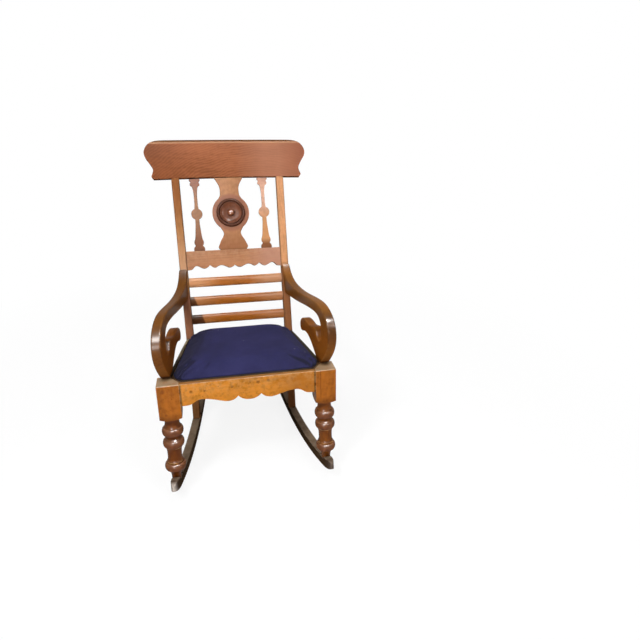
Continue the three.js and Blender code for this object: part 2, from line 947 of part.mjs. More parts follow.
// Central splat, waisted above and below its disc
function centralSplat() {
  const footShares = [
    [0.7, 0],
    [0.8, 0.035],
    [0.75, 0.075],
    [0.65, 0.13],
    [0.51, 0.19],
    [0.466, 0.23],
    [0.5, 0.265],
  ];
  const headShares = [
    [0.526, 0.755],
    [0.51, 0.84],
    [0.564, 0.9],
    [0.677, 0.955],
    [0.79, 1],
  ];
  const neckShare = 0.62;
  const place = ([x, levelShare]) => [x * disc_radius, levelShare];
  const rows = [
    ...footShares.map(place),
    ...discRows(disc_radius, neckShare * disc_radius, disc_level_share, 14),
    ...headShares.map(place),
  ];
  const outline = splatOutline(rows, disc_radius);
  const board = prismY(outline, splat_setback, splat_setback + splat_thickness);
  const recessRadius = roundel_radius + joint_gap;
  const recess = turned(
    [
      [0, 0],
      [recessRadius, 0],
      [recessRadius, splat_thickness],
      [0, splat_thickness],
    ],
    roundel_segments
  );
  recess.rotateX(Math.PI / 2).translate(0, splat_setback + roundel_recess, disc_level);
  return onBack(cut(board, recess));
}

add("splat_center", centralSplat(), colours.tan);

// Turned pieces that face forward on the central splat's disc
function facing(geometry, depth) {
  return onBack(geometry.rotateX(Math.PI / 2).translate(0, depth, disc_level));
}

// Turned roundel with a rim, an inner ring and a dished middle
const dish_share = 0.3;

function roundel() {
  const faceShares = [
    [1, 0],
    [1, 0.55],
    [0.985, 0.78],
    [0.94, 0.95],
    [0.89, 1],
    [0.84, 0.95],
    [0.81, 0.74],
    [0.8, 0.62],
    [0.77, 0.76],
    [0.74, 0.8],
    [0.7, 0.72],
    [0.62, 0.5],
    [0.48, 0.34],
    [0.34, dish_share],
  ];
  const bore = button_stem_radius + joint_gap;
  const profile = [
    [bore, 0],
    ...faceShares.map(([r, z]) => [r * roundel_radius, z * roundel_height]),
    [bore, dish_share * roundel_height],
    [bore, 0],
  ];
  return facing(turned(profile, roundel_segments), splat_setback + roundel_recess - seam);
}

add("roundel", roundel(), colours.roundel);

// Turned button in the middle of the roundel
function roundelButton() {
  const seat = dish_share * roundel_height;
  const baseShares = [
    [0.8, 0],
    [0.8, 0.14],
  ];
  const domeShare = 0.75;
  const domeSteps = 6;
  const domeShares = [];
  for (let i = 0; i < domeSteps; i++) {
    const turn = (Math.PI / 2) * (i / domeSteps);
    domeShares.push([Math.cos(turn) ** 0.8, 1 - domeShare + domeShare * Math.sin(turn)]);
  }
  const profile = [
    [0, joint_gap],
    [button_stem_radius, joint_gap],
    [button_stem_radius, seat],
    ...[...baseShares, ...domeShares].map(([r, z]) => [r * button_radius, seat + z * button_height]),
    [0, seat + button_height],
  ];
  return facing(turned(profile, 20), splat_setback + roundel_recess - 2 * seam);
}

add("roundel_button", roundelButton(), colours.roundel);

// Side splats: beads, neck, disc and flare
function sideSplat() {
  const footShares = [
    [0.96, 0],
    [0.99, 0.03],
    [0.87, 0.055],
    [0.65, 0.075],
    [0.79, 0.095],
    [0.85, 0.12],
    [0.79, 0.145],
    [0.69, 0.165],
    [0.6, 0.2],
    [0.48, 0.29],
    [0.38, 0.38],
  ];
  const headShares = [
    [0.3, 0.64],
    [0.3, 0.76],
    [0.36, 0.83],
    [0.52, 0.89],
    [0.8, 0.905],
    [0.86, 0.925],
    [0.76, 0.945],
    [0.72, 0.955],
    [0.92, 0.97],
    [0.96, 0.985],
    [0.86, 1],
  ];
  const place = ([x, levelShare]) => [x * side_disc_radius, levelShare];
  const neckShare = 0.38;
  const rows = [
    ...footShares.map(place),
    ...discRows(side_disc_radius, neckShare * side_disc_radius, disc_level_share, 12),
    ...headShares.map(place),
  ];
  const outline = splatOutline(rows, side_splat_x + side_disc_radius);
  const middle = splat_setback + splat_thickness / 2;
  const board = prismY(outline, middle - side_splat_thickness / 2, middle + side_splat_thickness / 2);
  return onBack(board.translate(side_splat_x, 0, 0));
}

addPair("side_splat", sideSplat(), colours.tan);

// Scroll arm: the outer line from the post round the nose to the tip, and the inner line back
function scrollArm() {
  const outerShares = [
    [1.06, 1.15],
    [1.01, 1.03],
    [0.965, 0.925],
    [0.92, 0.853],
    [0.84, 0.79],
    [0.73, 0.765],
    [0.61, 0.765],
    [0.49, 0.782],
    [0.37, 0.808],
    [0.27, 0.823],
    [0.19, 0.82],
    [0.116, 0.784],
    [0.056, 0.716],
    [0.016, 0.62],
    [0, 0.51],
    [0.004, 0.4],
    [0.026, 0.292],
    [0.06, 0.19],
    [0.1, 0.1],
    [0.132, 0.035],
    [0.165, 0],
  ];
  const innerShares = [
    [0.22, 0],
    [0.243, 0.045],
    [0.274, 0.095],
    [0.307, 0.142],
    [0.345, 0.188],
    [0.39, 0.228],
    [0.44, 0.245],
    [0.49, 0.236],
    [0.532, 0.21],
    [0.556, 0.222],
    [0.57, 0.27],
    [0.566, 0.34],
    [0.538, 0.4],
    [0.488, 0.427],
    [0.43, 0.424],
    [0.372, 0.41],
    [0.32, 0.43],
    [0.27, 0.446],
    [0.237, 0.41],
    [0.213, 0.342],
    [0.178, 0.314],
    [0.147, 0.345],
    [0.134, 0.42],
    [0.134, 0.51],
    [0.15, 0.59],
    [0.188, 0.645],
    [0.245, 0.668],
    [0.33, 0.664],
    [0.43, 0.647],
    [0.55, 0.617],
    [0.67, 0.59],
    [0.79, 0.572],
    [0.89, 0.562],
    [1.0, 0.556],
  ];
  const place = ([u, v]) => [arm_nose_y + u * arm_reach, seam + v * arm_top_z];
  const outline = [...smooth(outerShares.map(place), 46), ...smooth(innerShares.map(place), 70)];
  const board = prismX(outline, -arm_thickness / 2, arm_thickness / 2, arris_width);
  const position = board.attributes.position;
  for (let i = 0; i < position.count; i++) {
    const run = position.getY(i) - block_mid_y;
    position.setX(i, position.getX(i) + arm_front_x - arm_slope * run);
  }
  const behindPost = onBack(
    block([-leg_outer_x, leg_outer_x], [-seam, post_length], [-post_length, post_length])
  );
  return cut(board, behindPost);
}

addPair("arm", scrollArm(), colours.arm);

// Corner blocks glued inside the seat rails
function frontCornerBlock() {
  const front = apron_inset + apron_thickness + seam;
  const outline = [
    [block_inner_x - corner_block_leg, front],
    [block_inner_x - seam, front],
    [block_inner_x - seam, block_side],
  ];
  return prismZ(outline, -corner_block_depth - corner_block_height, -corner_block_depth);
}

function rearCornerBlock() {
  const front = rear_rail_front - corner_block_leg;
  const outline = [
    [sideRailInner(front) - seam, front],
    [sideRailInner(post_front_y) - seam, post_front_y - seam],
    [post_inner_x - seam, post_front_y - seam],
    [post_inner_x - seam, rear_rail_front - seam],
    [post_inner_x - corner_block_leg, rear_rail_front - seam],
  ];
  return prismZ(outline, -corner_block_depth - corner_block_height, -corner_block_depth);
}

addPair("corner_block_front", frontCornerBlock(), colours.hidden);
addPair("corner_block_rear", rearCornerBlock(), colours.hidden);

// Drop-in seat: four frame bars, a base panel and the padded top
const framePlan = prismZ(seatPlan(0), -rebate_depth + seam, seat_frame_top - seam);
const frame_front_end = seat_front_y + seat_frame_width;
const frame_rear_start = seat_rear_y - seat_frame_width;

function seatFrameBar(y) {
  return common(framePlan, block([-leg_outer_x, leg_outer_x], y, [-rebate_depth, seat_frame_top]));
}

function seatFrameSide() {
  const [front, rear] = [frame_front_end + seam, frame_rear_start - seam];
  const outline = [
    [seatEdgeX(front) + seat_frame_width, front],
    [seatEdgeX(rear) + seat_frame_width, rear],
    [seatEdgeX(rear) - seat_frame_width, rear],
    [seatEdgeX(front) - seat_frame_width, front],
  ];
  return common(framePlan, prismZ(outline, -rebate_depth, seat_frame_top));
}

add("seat_frame_front", seatFrameBar([0, frame_front_end]), colours.hidden);
add("seat_frame_rear", seatFrameBar([frame_rear_start, seat_rear_y + overrun]), colours.hidden);
addPair("seat_frame_side", seatFrameSide(), colours.hidden);
add("seat_base", prismZ(seatPlan(-seat_base_inset), seat_frame_top, seat_base_top - seam), colours.webbing);

// Padded top with drawn-in sides and a full crown
function cushion() {
  const tuckShares = [
    [1, 0],
    [0.25, 0.2],
    [0, 0.5],
    [0.1, 0.8],
    [0.6, 1],
  ];
  const rings = tuckShares.map(([tuck, rise]) =>
    seatPlan(-cushion_tuck * tuck).map(
      ([x, y]) => new THREE.Vector3(x, y, seat_base_top + rise * cushion_side)
    )
  );
  const middle = new THREE.Vector2(0, (seat_front_y + seat_rear_y) / 2);
  const brim = seatPlan(-cushion_tuck);
  const oval = new THREE.Vector2(
    (seatEdgeX(middle.y) + block_inner_x) / 2 - cushion_tuck,
    (seat_rear_y - seat_front_y) / 2 - cushion_tuck
  );
  const crownFrom = seat_base_top + cushion_side;
  const crownShares = [0.965, 0.92, 0.85, 0.75, 0.62, 0.45, 0.26, 0.06];
  for (const share of crownShares) {
    const z = crownFrom + (cushion_crown - crownFrom) * Math.sqrt(1 - share ** 4);
    const angular = share ** 3;
    rings.push(
      brim.map(([x, y]) => {
        const from = new THREE.Vector2(x, y).sub(middle);
        const smoothed = new THREE.Vector2(from.x / oval.x, from.y / oval.y).normalize().multiply(oval);
        const place = smoothed.lerp(from, angular).multiplyScalar(share).add(middle);
        return new THREE.Vector3(place.x, place.y, z);
      })
    );
  }
  return loft(rings);
}

add("seat_cushion", cushion(), colours.cloth);

// The chair comes to rest leaning back on its rockers: turn it, then set it on the floor about its middle
const settle = new THREE.Matrix4().makeRotationX(-lean);
group.children.forEach((mesh) => mesh.geometry.applyMatrix4(settle));
const bounds = new THREE.Box3().setFromObject(group);
const middle = bounds.getCenter(new THREE.Vector3());
group.children.forEach((mesh) => mesh.geometry.translate(-middle.x, -middle.y, -bounds.min.z));

export default group;
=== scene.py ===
# %% [markdown]
# # A scroll-arm rocking chair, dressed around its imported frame
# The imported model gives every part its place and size. This lesson builds the pieces that show a second
# time, with worn edges, turned rings and a stuffed seat, and gives each one a finish of its own.
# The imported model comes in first. It is never moved: new pieces are fitted to it.

import json
import math

import bmesh
import bpy
from mathutils import Matrix, Vector
from mathutils.geometry import interpolate_bezier


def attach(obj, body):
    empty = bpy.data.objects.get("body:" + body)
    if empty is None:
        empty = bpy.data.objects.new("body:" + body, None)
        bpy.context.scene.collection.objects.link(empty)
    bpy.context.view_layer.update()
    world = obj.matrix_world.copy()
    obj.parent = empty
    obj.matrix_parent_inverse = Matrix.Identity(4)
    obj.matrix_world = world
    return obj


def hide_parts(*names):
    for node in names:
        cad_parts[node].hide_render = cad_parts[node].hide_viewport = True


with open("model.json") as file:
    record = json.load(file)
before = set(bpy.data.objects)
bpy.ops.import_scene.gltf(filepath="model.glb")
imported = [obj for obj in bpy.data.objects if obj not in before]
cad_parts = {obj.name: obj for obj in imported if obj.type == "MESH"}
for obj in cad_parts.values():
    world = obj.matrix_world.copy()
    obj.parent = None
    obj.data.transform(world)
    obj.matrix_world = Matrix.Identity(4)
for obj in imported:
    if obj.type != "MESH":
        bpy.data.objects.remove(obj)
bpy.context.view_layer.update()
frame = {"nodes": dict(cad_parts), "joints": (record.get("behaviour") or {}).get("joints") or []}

# %% [markdown]
# ## The workshop frame
# A chair is drawn upright and in millimetres, but at rest this one leans back on its rockers. The seat
# lifts straight off its rails, so the direction of that slide gives the lean. The front leg's block gives
# the corner from which the workshop drawing is measured: its front face is y 0 and its top is z 0.
# One matrix, place, then takes every finished mesh from the workshop to the room.

# %% From the workshop to the room
mm = 0.001
slide = frame["joints"][0]["axis"]
lean = math.atan2(slide[1], slide[2])
stand_up = Matrix.Rotation(lean, 4, "X")
leg_points = [stand_up @ v.co for v in frame["nodes"]["front_leg_left"].data.vertices]
corner = Vector((0, min(p.y for p in leg_points), max(p.z for p in leg_points)))
settle = stand_up.inverted() @ Matrix.Translation(corner)
place = settle @ Matrix.Scale(mm, 4)
print("lean", round(math.degrees(lean), 2), "corner", [round(x, 4) for x in corner])

# %% [markdown]
# The back is a ladder of its own that rakes to the rear. Inside it x runs across, y to the rear from the
# posts' front faces and z up along them, so its parts can be drawn as if the back stood straight. The
# posts' sizes belong here, because seat, rails and arms are fitted between them.

# %% The leaning back
post_front, post_width, post_depth = 395, 29, 34
post_x, post_foot_x, post_top_x = 191, 195.6, 198.5
rake = math.radians(17.5)
back = Matrix.Translation((0, post_front, 0)) @ Matrix.Rotation(-rake, 4, "X")

# %% [markdown]
# ## Camera
# The camera stands a little to the left of the chair and above the arms, and looks down on the seat. Its
# place was measured from the picture's perspective: the post lines, the leg rings and the rocker tips.
# The small shift only frames the picture, so the other views keep working. One helper puts this and
# every later object into the scene.


# %% The camera
def linked(name, data):
    made = bpy.data.objects.new(name, data)
    bpy.context.scene.collection.objects.link(made)
    return made


image_side = 640
focal_pixels = 535.767
axis_pixel = Vector((335.953, 317.684))
eye = Vector((-90.567, -1589.95, 768.604))
yaw, pitch, roll = 0.2345675, 0.3438553, 0.0005623

ahead = Vector((math.sin(yaw) * math.cos(pitch), math.cos(yaw) * math.cos(pitch), -math.sin(pitch)))
level = Vector((math.cos(yaw), -math.sin(yaw), 0))
over = level.cross(ahead)
right = math.cos(roll) * level + math.sin(roll) * over
upward = -math.sin(roll) * level + math.cos(roll) * over

camera_data = bpy.data.cameras.new("camera")
camera_data.sensor_width = 36
camera_data.lens = focal_pixels / image_side * camera_data.sensor_width
camera_data.shift_x = (image_side / 2 - axis_pixel.x) / image_side
camera_data.shift_y = (axis_pixel.y - image_side / 2) / image_side
camera = linked("camera", camera_data)
turn = Matrix((right, upward, -ahead)).transposed().to_4x4()
camera.matrix_world = Matrix.Translation(place @ eye) @ settle.to_3x3().to_4x4() @ turn
bpy.context.scene.camera = camera
print("lens", round(camera_data.lens, 2), "eye", [round(x, 3) for x in camera.matrix_world.translation])

# %% [markdown]
# ## Helpers for the bench
# Most of the chair is sawn board: an outline is drawn on the wood, sawn out and its edges softened. The
# same happens here. An outline becomes one face, which is pulled out to the board's thickness, and a
# bevel round both faces takes the saw's sharp edge off.


# %% Sawn boards
def pulled(bm, face):
    grown = bmesh.ops.extrude_face_region(bm, geom=[face])["geom"]
    return next(g for g in grown if isinstance(g, bmesh.types.BMFace))


def softened(bm, geom, offset, segments=4, affect="EDGES"):
    bmesh.ops.bevel(
        bm, geom=geom, offset=offset, segments=segments, profile=0.5, affect=affect, material=-1
    )


def sawn(outline, along, start, thickness, soften=0, segments=4):
    bm = bmesh.new()
    lay = {
        "x": lambda u, v, w: (w, u, v),
        "y": lambda u, v, w: (u, w, v),
        "z": lambda u, v, w: (u, v, w),
    }[along]
    near = bm.faces.new([bm.verts.new(lay(u, v, start)) for u, v in outline])
    far = pulled(bm, near)
    bmesh.ops.translate(bm, vec=lay(0, 0, thickness), verts=far.verts)
    bmesh.ops.recalc_face_normals(bm, faces=bm.faces)
    if soften:
        softened(bm, list(near.edges) + list(far.edges), soften, segments)
    return bm


# %% [markdown]
# A curved outline is drawn as a workman bends a batten: through a few marked points. Each stretch between
# two marks is a Bezier curve whose handles follow the neighbours. Arcs and bows are stepped off evenly
# with the dividers instead, so even shares of a length and the blend of two values are helpers as well.
# Most marks are written as shares of a part's width and height, so that its proportions can be read, and
# one half is flipped over to draw the other.


# %% Smooth lines and even steps
def shares_of(count):
    return [i / count for i in range(count + 1)]


def blend_of(a, b, t):
    return a + (b - a) * t


def sized(shares, width, height, start=0):
    return [(u * width, start + v * height) for u, v in shares]


def flipped(half):
    return [(-x, z) for x, z in reversed(half)]


def drawn(marks, steps):
    line = []
    for i in range(len(marks) - 1):
        a, b = Vector(marks[i]), Vector(marks[i + 1])
        before = Vector(marks[max(i - 1, 0)])
        after = Vector(marks[min(i + 2, len(marks) - 1)])
        line += interpolate_bezier(a, a + (b - before) / 6, b - (after - a) / 6, b, steps + 1)[:-1]
    return [tuple(p)[:2] for p in line] + [tuple(marks[-1])]


# %% [markdown]
# Posts, rockers, slats and the crest rail keep one section along their length. The section is a face,
# and it is extruded from station to station, each time moved by the step between two matrices. The face
# that was pulled on would stay behind inside the wood, so it is taken out, all but the first, an end.


# %% Sections run along stations
def rounded_section(width, depth, front_round, rear_round, segments):
    bm = bmesh.new()
    corners = [(-width / 2, 0), (width / 2, 0), (width / 2, depth), (-width / 2, depth)]
    verts = [bm.verts.new((u, v, 0)) for u, v in corners]
    bm.faces.new(verts)
    for pair, radius in ((verts[:2], front_round), (verts[2:], rear_round)):
        softened(bm, pair, radius, segments, "VERTICES")
    return bm


def run_along(bm, stations):
    face = next(iter(bm.faces))
    bm.transform(stations[0])
    for step, (before, after) in enumerate(zip(stations, stations[1:])):
        inner, face = face, pulled(bm, face)
        bmesh.ops.transform(bm, matrix=after @ before.inverted(), verts=face.verts)
        if step:
            bmesh.ops.delete(bm, geom=[inner], context="FACES_ONLY")
    bmesh.ops.recalc_face_normals(bm, faces=bm.faces)
    return bm


# %% [markdown]
# Turned parts come off the lathe: half a profile spins once round its axis. The doubles at the seam and
# at the poles are merged, and the normals are worked out again, because a spin can turn them inward.


# %% Turned parts
same_point = 0.01


def closed(bm):
    bmesh.ops.remove_doubles(bm, verts=bm.verts, dist=same_point)
    bmesh.ops.recalc_face_normals(bm, faces=bm.faces)


def turned(profile, segments):
    bm = bmesh.new()
    verts = [bm.verts.new((r, 0, z)) for r, z in profile]
    edges = [bm.edges.new(pair) for pair in zip(verts, verts[1:])]
    bmesh.ops.spin(
        bm, geom=verts + edges, cent=(0, 0, 0), axis=(0, 0, 1), angle=math.tau, steps=segments,
        use_merge=True
    )
    closed(bm)
    return bm


# %% [markdown]
# A notch or a seat for a joint is cut with a second closed shape as the chisel. Blender's Boolean
# modifier does it on two helper objects, which are taken away again.


# %% Chisel work
def carved(bm, tool, operation="DIFFERENCE"):
    helpers = []
    for shape in (bm, tool):
        mesh = bpy.data.meshes.new("helper")
        shape.to_mesh(mesh)
        shape.free()
        helpers.append(linked("helper", mesh))
    chisel = helpers[0].modifiers.new("chisel", "BOOLEAN")
    chisel.operation = operation
    chisel.solver = "EXACT"
    chisel.object = helpers[1]
    result = bmesh.new()
    result.from_object(helpers[0], bpy.context.evaluated_depsgraph_get())
    for helper in helpers:
        bpy.data.objects.remove(helper)
    return result


def block(x, y, z):
    bm = bmesh.new()
    bmesh.ops.create_cube(bm, size=1)
    bmesh.ops.scale(bm, vec=(x[1] - x[0], y[1] - y[0], z[1] - z[0]), verts=bm.verts)
    middle = ((x[0] + x[1]) / 2, (y[0] + y[1]) / 2, (z[0] + z[1]) / 2)
    bmesh.ops.translate(bm, vec=middle, verts=bm.verts)
    return bm


# %% [markdown]
# A finished piece goes to its place in the room, gets its finish and its smooth shading, and rides on the
# chair's body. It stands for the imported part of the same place, which is then hidden. Hands and shoes rub
# a rounded edge first, so each point also keeps how sharply the faces bend there, as the attribute wear.


# %% Fitting a finished piece
sharpest_worn, least_worn, worn_reach = 0.9, 0.2, 0.12


def fitted(name, bm, finish, node, body="chair", sharp=32):
    closed(bm)
    bm.transform(place)
    layer = bm.verts.layers.float.new("wear")
    for vert in bm.verts:
        bends = [e.calc_face_angle(0) for e in vert.link_edges if e.is_manifold and e.is_convex]
        rounded = [b for b in bends if b < sharpest_worn]
        vert[layer] = min(1, max(0, (max(rounded, default=0) - least_worn) / worn_reach))
    mesh = bpy.data.meshes.new(name)
    bm.to_mesh(mesh)
    bm.free()
    mesh.shade_smooth()
    mesh.set_sharp_from_angle(angle=math.radians(sharp))
    mesh.materials.append(finish)
    piece = linked(name, mesh)
    even = piece.modifiers.new("even shading", "WEIGHTED_NORMAL")
    even.keep_sharp = True
    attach(piece, body)
    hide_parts(node)
    print(name, len(mesh.polygons), "faces")


# %% [markdown]
# Legs, posts, rockers, arms and side splats come in pairs. The one at the viewer's right is made, and its
# twin is the mirror image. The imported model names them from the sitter's side.


# %% Pairs
def mirrored(bm):
    twin = bm.copy()
    twin.transform(Matrix.Scale(-1, 4, (1, 0, 0)))
    return twin


def fitted_pair(name, bm, node, finish, left_finish=None):
    fitted(f"{name}_right", mirrored(bm), finish, f"{node}_right")
    fitted(f"{name}_left", bm, left_finish or finish, f"{node}_left")


# %% [markdown]
# ## Sizes that finishes and pieces share
# Stains and wear are placed on the drawing, so a few sizes are needed before the wood is made: where the
# front leg's block ends and its rings sit, and how high the lower rail, the crest and the splat's disc
# stand on the raked back. Rings and disc are told as shares of their part, as a turner marks them.

# %% Shared sizes
block_height, leg_length, ring_shares = 118.6, 360, (0.791, 0.424, 0.24)
stem_length = leg_length - block_height
rail_foot, back_rail_height, crest_foot = 261.5, 71.5, 613.5
splat_setback, disc_share = 15, 0.513
splat_foot = rail_foot + back_rail_height
splat_length = crest_foot - splat_foot
disc_level = splat_foot + disc_share * splat_length
disc_spot = back @ Vector((0, splat_setback, disc_level))
print("middle of the disc", [round(x, 1) for x in disc_spot])

# %% [markdown]
# ## Finishes
# Every finish is a small network of nodes. One helper adds a node, sets what is fixed and links what
# comes from another node. The others stand for steps that return often: a sum, a blend, a noise, a place
# that noise has shaken, a distance, and the small bumps that light catches on. Colours are written as
# they look and turned into the values that light needs.


# %% Helpers for nodes
def paint(code):
    channels = [int(code[i : i + 2], 16) / 255 for i in (0, 2, 4)]
    return [c / 12.92 if c <= 0.04045 else ((c + 0.055) / 1.055) ** 2.4 for c in channels] + [1]


def darker(colour, share):
    return [c * share for c in colour[:3]] + [1]


def add_node(tree, kind, sockets=None, **settings):
    made = tree.nodes.new("ShaderNode" + kind)
    for name, value in settings.items():
        setattr(made, name, value)
    for key, value in (sockets or {}).items():
        if isinstance(value, bpy.types.NodeSocket):
            tree.links.new(value, made.inputs[key])
        else:
            made.inputs[key].default_value = value
    return made


def calc(tree, operation, a, b=0.0, c=0.0):
    return add_node(tree, "Math", {0: a, 1: b, 2: c}, operation=operation).outputs[0]


def spread(tree, value, low, high, to_low=0.0, to_high=1.0):
    sockets = {"Value": value, "From Min": low, "From Max": high, "To Min": to_low, "To Max": to_high}
    return add_node(tree, "MapRange", sockets).outputs[0]


def mixed(tree, amount, a, b):
    return add_node(tree, "Mix", {0: amount, 6: a, 7: b}, data_type="RGBA").outputs[2]


def ramp(tree, value, stops):
    node = add_node(tree, "ValToRGB", {0: value})
    points = node.color_ramp.elements
    while len(points) < len(stops):
        points.new(0.5)
    for point, (position, colour) in zip(points, stops):
        point.position = position
        point.color = colour
    return node.outputs[0]


def noise(tree, spot, scale, detail, output="Fac", **more):
    sockets = {"Vector": spot, "Scale": scale, "Detail": detail, **more}
    return add_node(tree, "TexNoise", sockets).outputs[output]


def mapped(tree, spot, **sockets):
    return add_node(tree, "Mapping", {"Vector": spot, **sockets}).outputs[0]


def vector_calc(tree, operation, a, b):
    return add_node(tree, "VectorMath", {0: a, 1: b}, operation=operation).outputs[0]


def shaken(tree, spot, scale, detail, reach):
    shake = vector_calc(tree, "SUBTRACT", noise(tree, spot, scale, detail, "Color"), (0.5, 0.5, 0.5))
    bent = vector_calc(tree, "MULTIPLY", shake, (reach, reach, reach))
    return vector_calc(tree, "ADD", spot, bent)


def distance(tree, a, b):
    return add_node(tree, "VectorMath", {0: a, 1: b}, operation="DISTANCE").outputs["Value"]


def new_finish(name):
    material = bpy.data.materials.new(name)
    material.use_nodes = True
    return material, material.node_tree, material.node_tree.nodes["Principled BSDF"]


def set_values(shader, values):
    for key, value in values.items():
        shader.inputs[key].default_value = value


def roughened(tree, shader, height, strength, depth):
    bump = add_node(tree, "Bump", {"Height": height, "Strength": strength, "Distance": depth})
    tree.links.new(bump.outputs[0], shader.inputs["Normal"])


# %% [markdown]
# ## Old varnished wood
# The chair is made of a close-grained hardwood under an old shellac varnish. Its look comes in layers.
# Growth rings run round a pith outside the board and wander with the tree, fine streaks and pores are
# noise drawn out along the grain, and broad patches make one end warmer than the other. Then comes use:
# rounded edges are rubbed pale where the attribute wear says so, and corners are darkened where an
# Ambient Occlusion node finds them, as dirt and as painted shade. The varnish is a thin coat over it all.
# A finish is built in steps. First come the coordinates: one Mapping node gives back the workshop's
# millimetres, so stains and wear can be placed on the drawing.


# %% Coordinates and shades
def bench_place(tree, spot):
    return mapped(tree, spot, Location=-corner / mm, Rotation=(lean, 0, 0), Scale=(1 / mm,) * 3)


def looks(tree):
    normal = add_node(tree, "TexCoord").outputs["Normal"]
    return add_node(tree, "SeparateXYZ", {0: normal}).outputs


def shades(code, contrast):
    red, green, blue, _ = paint(code)
    dark = [red * (1 - contrast), green * (1 - 1.1 * contrast), blue * (1 - 1.2 * contrast), 1]
    light = [red * (1 + 0.7 * contrast), green * (1 + 0.75 * contrast), blue * (1 + 0.85 * contrast), 1]
    return dark, [red, green, blue, 1], light


# %% [markdown]
# Small dark knots, dents and stains sit at places that can be pointed at. Each one is the distance to a
# point on the bench, bent a little by noise so that it isn't a perfect dot.


# %% Knots and stains
def stained(tree, bench, colour, marks):
    moved = shaken(tree, bench, 0.16, 3, 8)
    for point, radius, strength in marks:
        share = spread(tree, distance(tree, moved, point), radius, radius * 0.35, 0, strength)
        colour = mixed(tree, share, colour, paint("5A2A10"))
    return colour


# %% [markdown]
# The grain itself: a wave texture draws rings round the pith, and its coordinates are shaken by a slow
# noise first, because a tree is never a perfect cylinder. A wave texture of scale 1 repeats after a
# fixed length, one_wave, so the distance between two rings sets the scale.


# %% Grain
one_wave = 0.31416
pith = (0, 70 * mm, 45 * mm)


def grain(tree, spot, turn, seed, ring):
    laid = mapped(tree, spot, Rotation=[math.radians(a) for a in turn], Location=(seed * 0.37, 0, 0))
    long_way = mapped(tree, laid, Scale=(0.3, 1, 1))
    about = mapped(tree, shaken(tree, long_way, 9, 2, 0.05), Location=pith)
    sockets = {"Vector": about, "Scale": one_wave / (ring * mm), "Distortion": 1.2, "Detail": 2}
    wave = add_node(
        tree, "TexWave", {**sockets, "Detail Scale": 0.4},
        wave_type="RINGS", rings_direction="X", wave_profile="SIN",
    )
    fine = mapped(tree, laid, Scale=(0.04, 1, 1))
    streaks = noise(tree, fine, 110, 5)
    pores = noise(tree, fine, 800, 2)
    patches = noise(tree, long_way, 14, 3)
    return wave.outputs["Fac"], streaks, pores, patches


# %% [markdown]
# A wide board sawn near the outside of the trunk shows its rings as tall arches instead. They are circles
# round a point far below the board.


# %% Arched grain
def arched_rings(tree, bench, middle, ring):
    about = mapped(tree, shaken(tree, bench, 0.012, 2, 28), Location=(-middle[0], 0, -middle[1]))
    sockets = {"Vector": about, "Scale": one_wave / ring, "Distortion": 0.8, "Detail": 2}
    wave = add_node(
        tree, "TexWave", sockets, wave_type="RINGS", rings_direction="Y", wave_profile="SIN"
    )
    return wave.outputs["Fac"]


# %% [markdown]
# Some parts change from place to place. The top faces of blocks never saw polish and are dull and grey,
# the turned rings of a leg have taken the stain darker than the waists between them, and dust lies on top
# of the rockers. The right side of the back is paler, a painted sheen. Each such change is one row: how
# strong it is, its colour, and the limits between which it comes in. A limit names what is measured:
# a place on the bench, a line that leans like the edge of the arm's painted shadow, the way a face looks,
# the distance to the middle of the disc, or a patchy noise. Rows are laid on in order, so a later one
# covers an earlier one.


# %% Changes of colour from place to place
axes = ("side", "forward", "level")
facings = ("faces_right", "faces_back", "faces_up")
patchiness = {"rough": (0.05, 4), "dust": (0.03, 5)}


def measured(tree, bench, kind):
    if kind in axes:
        return add_node(tree, "SeparateXYZ", {0: bench}).outputs[axes.index(kind)]
    if kind in facings:
        return looks(tree)[facings.index(kind)]
    if kind == "from_disc":
        return distance(tree, bench, disc_spot)
    # A line that leans like the edge of the arm's painted shadow on the slats.
    if kind == "painted_shadow_line":
        level, side = measured(tree, bench, "level"), measured(tree, bench, "side")
        return calc(tree, "MULTIPLY_ADD", level, 0.35, side)
    return noise(tree, bench, *patchiness[kind])


def tinted(tree, bench, colour, tints):
    for strength, code, *limits in tints:
        share = strength
        for kind, *reach in limits:
            share = calc(tree, "MULTIPLY", share, spread(tree, measured(tree, bench, kind), *reach))
        colour = mixed(tree, share, colour, paint(code))
    return colour


# %% [markdown]
# The layers are then mixed into one finish. Every kind of part chooses its colour, its contrast, the way
# its grain runs, and how glossy, how dark in its corners and how worn it is. Faces that look sideways or
# down are darkened as painted shade. Nothing rubs the rear faces, so they have no pale edges.

# %% The wood finish
varnish_gloss, varnish_ior, painted_underside_shade = 0.0, 1.35, 0.7


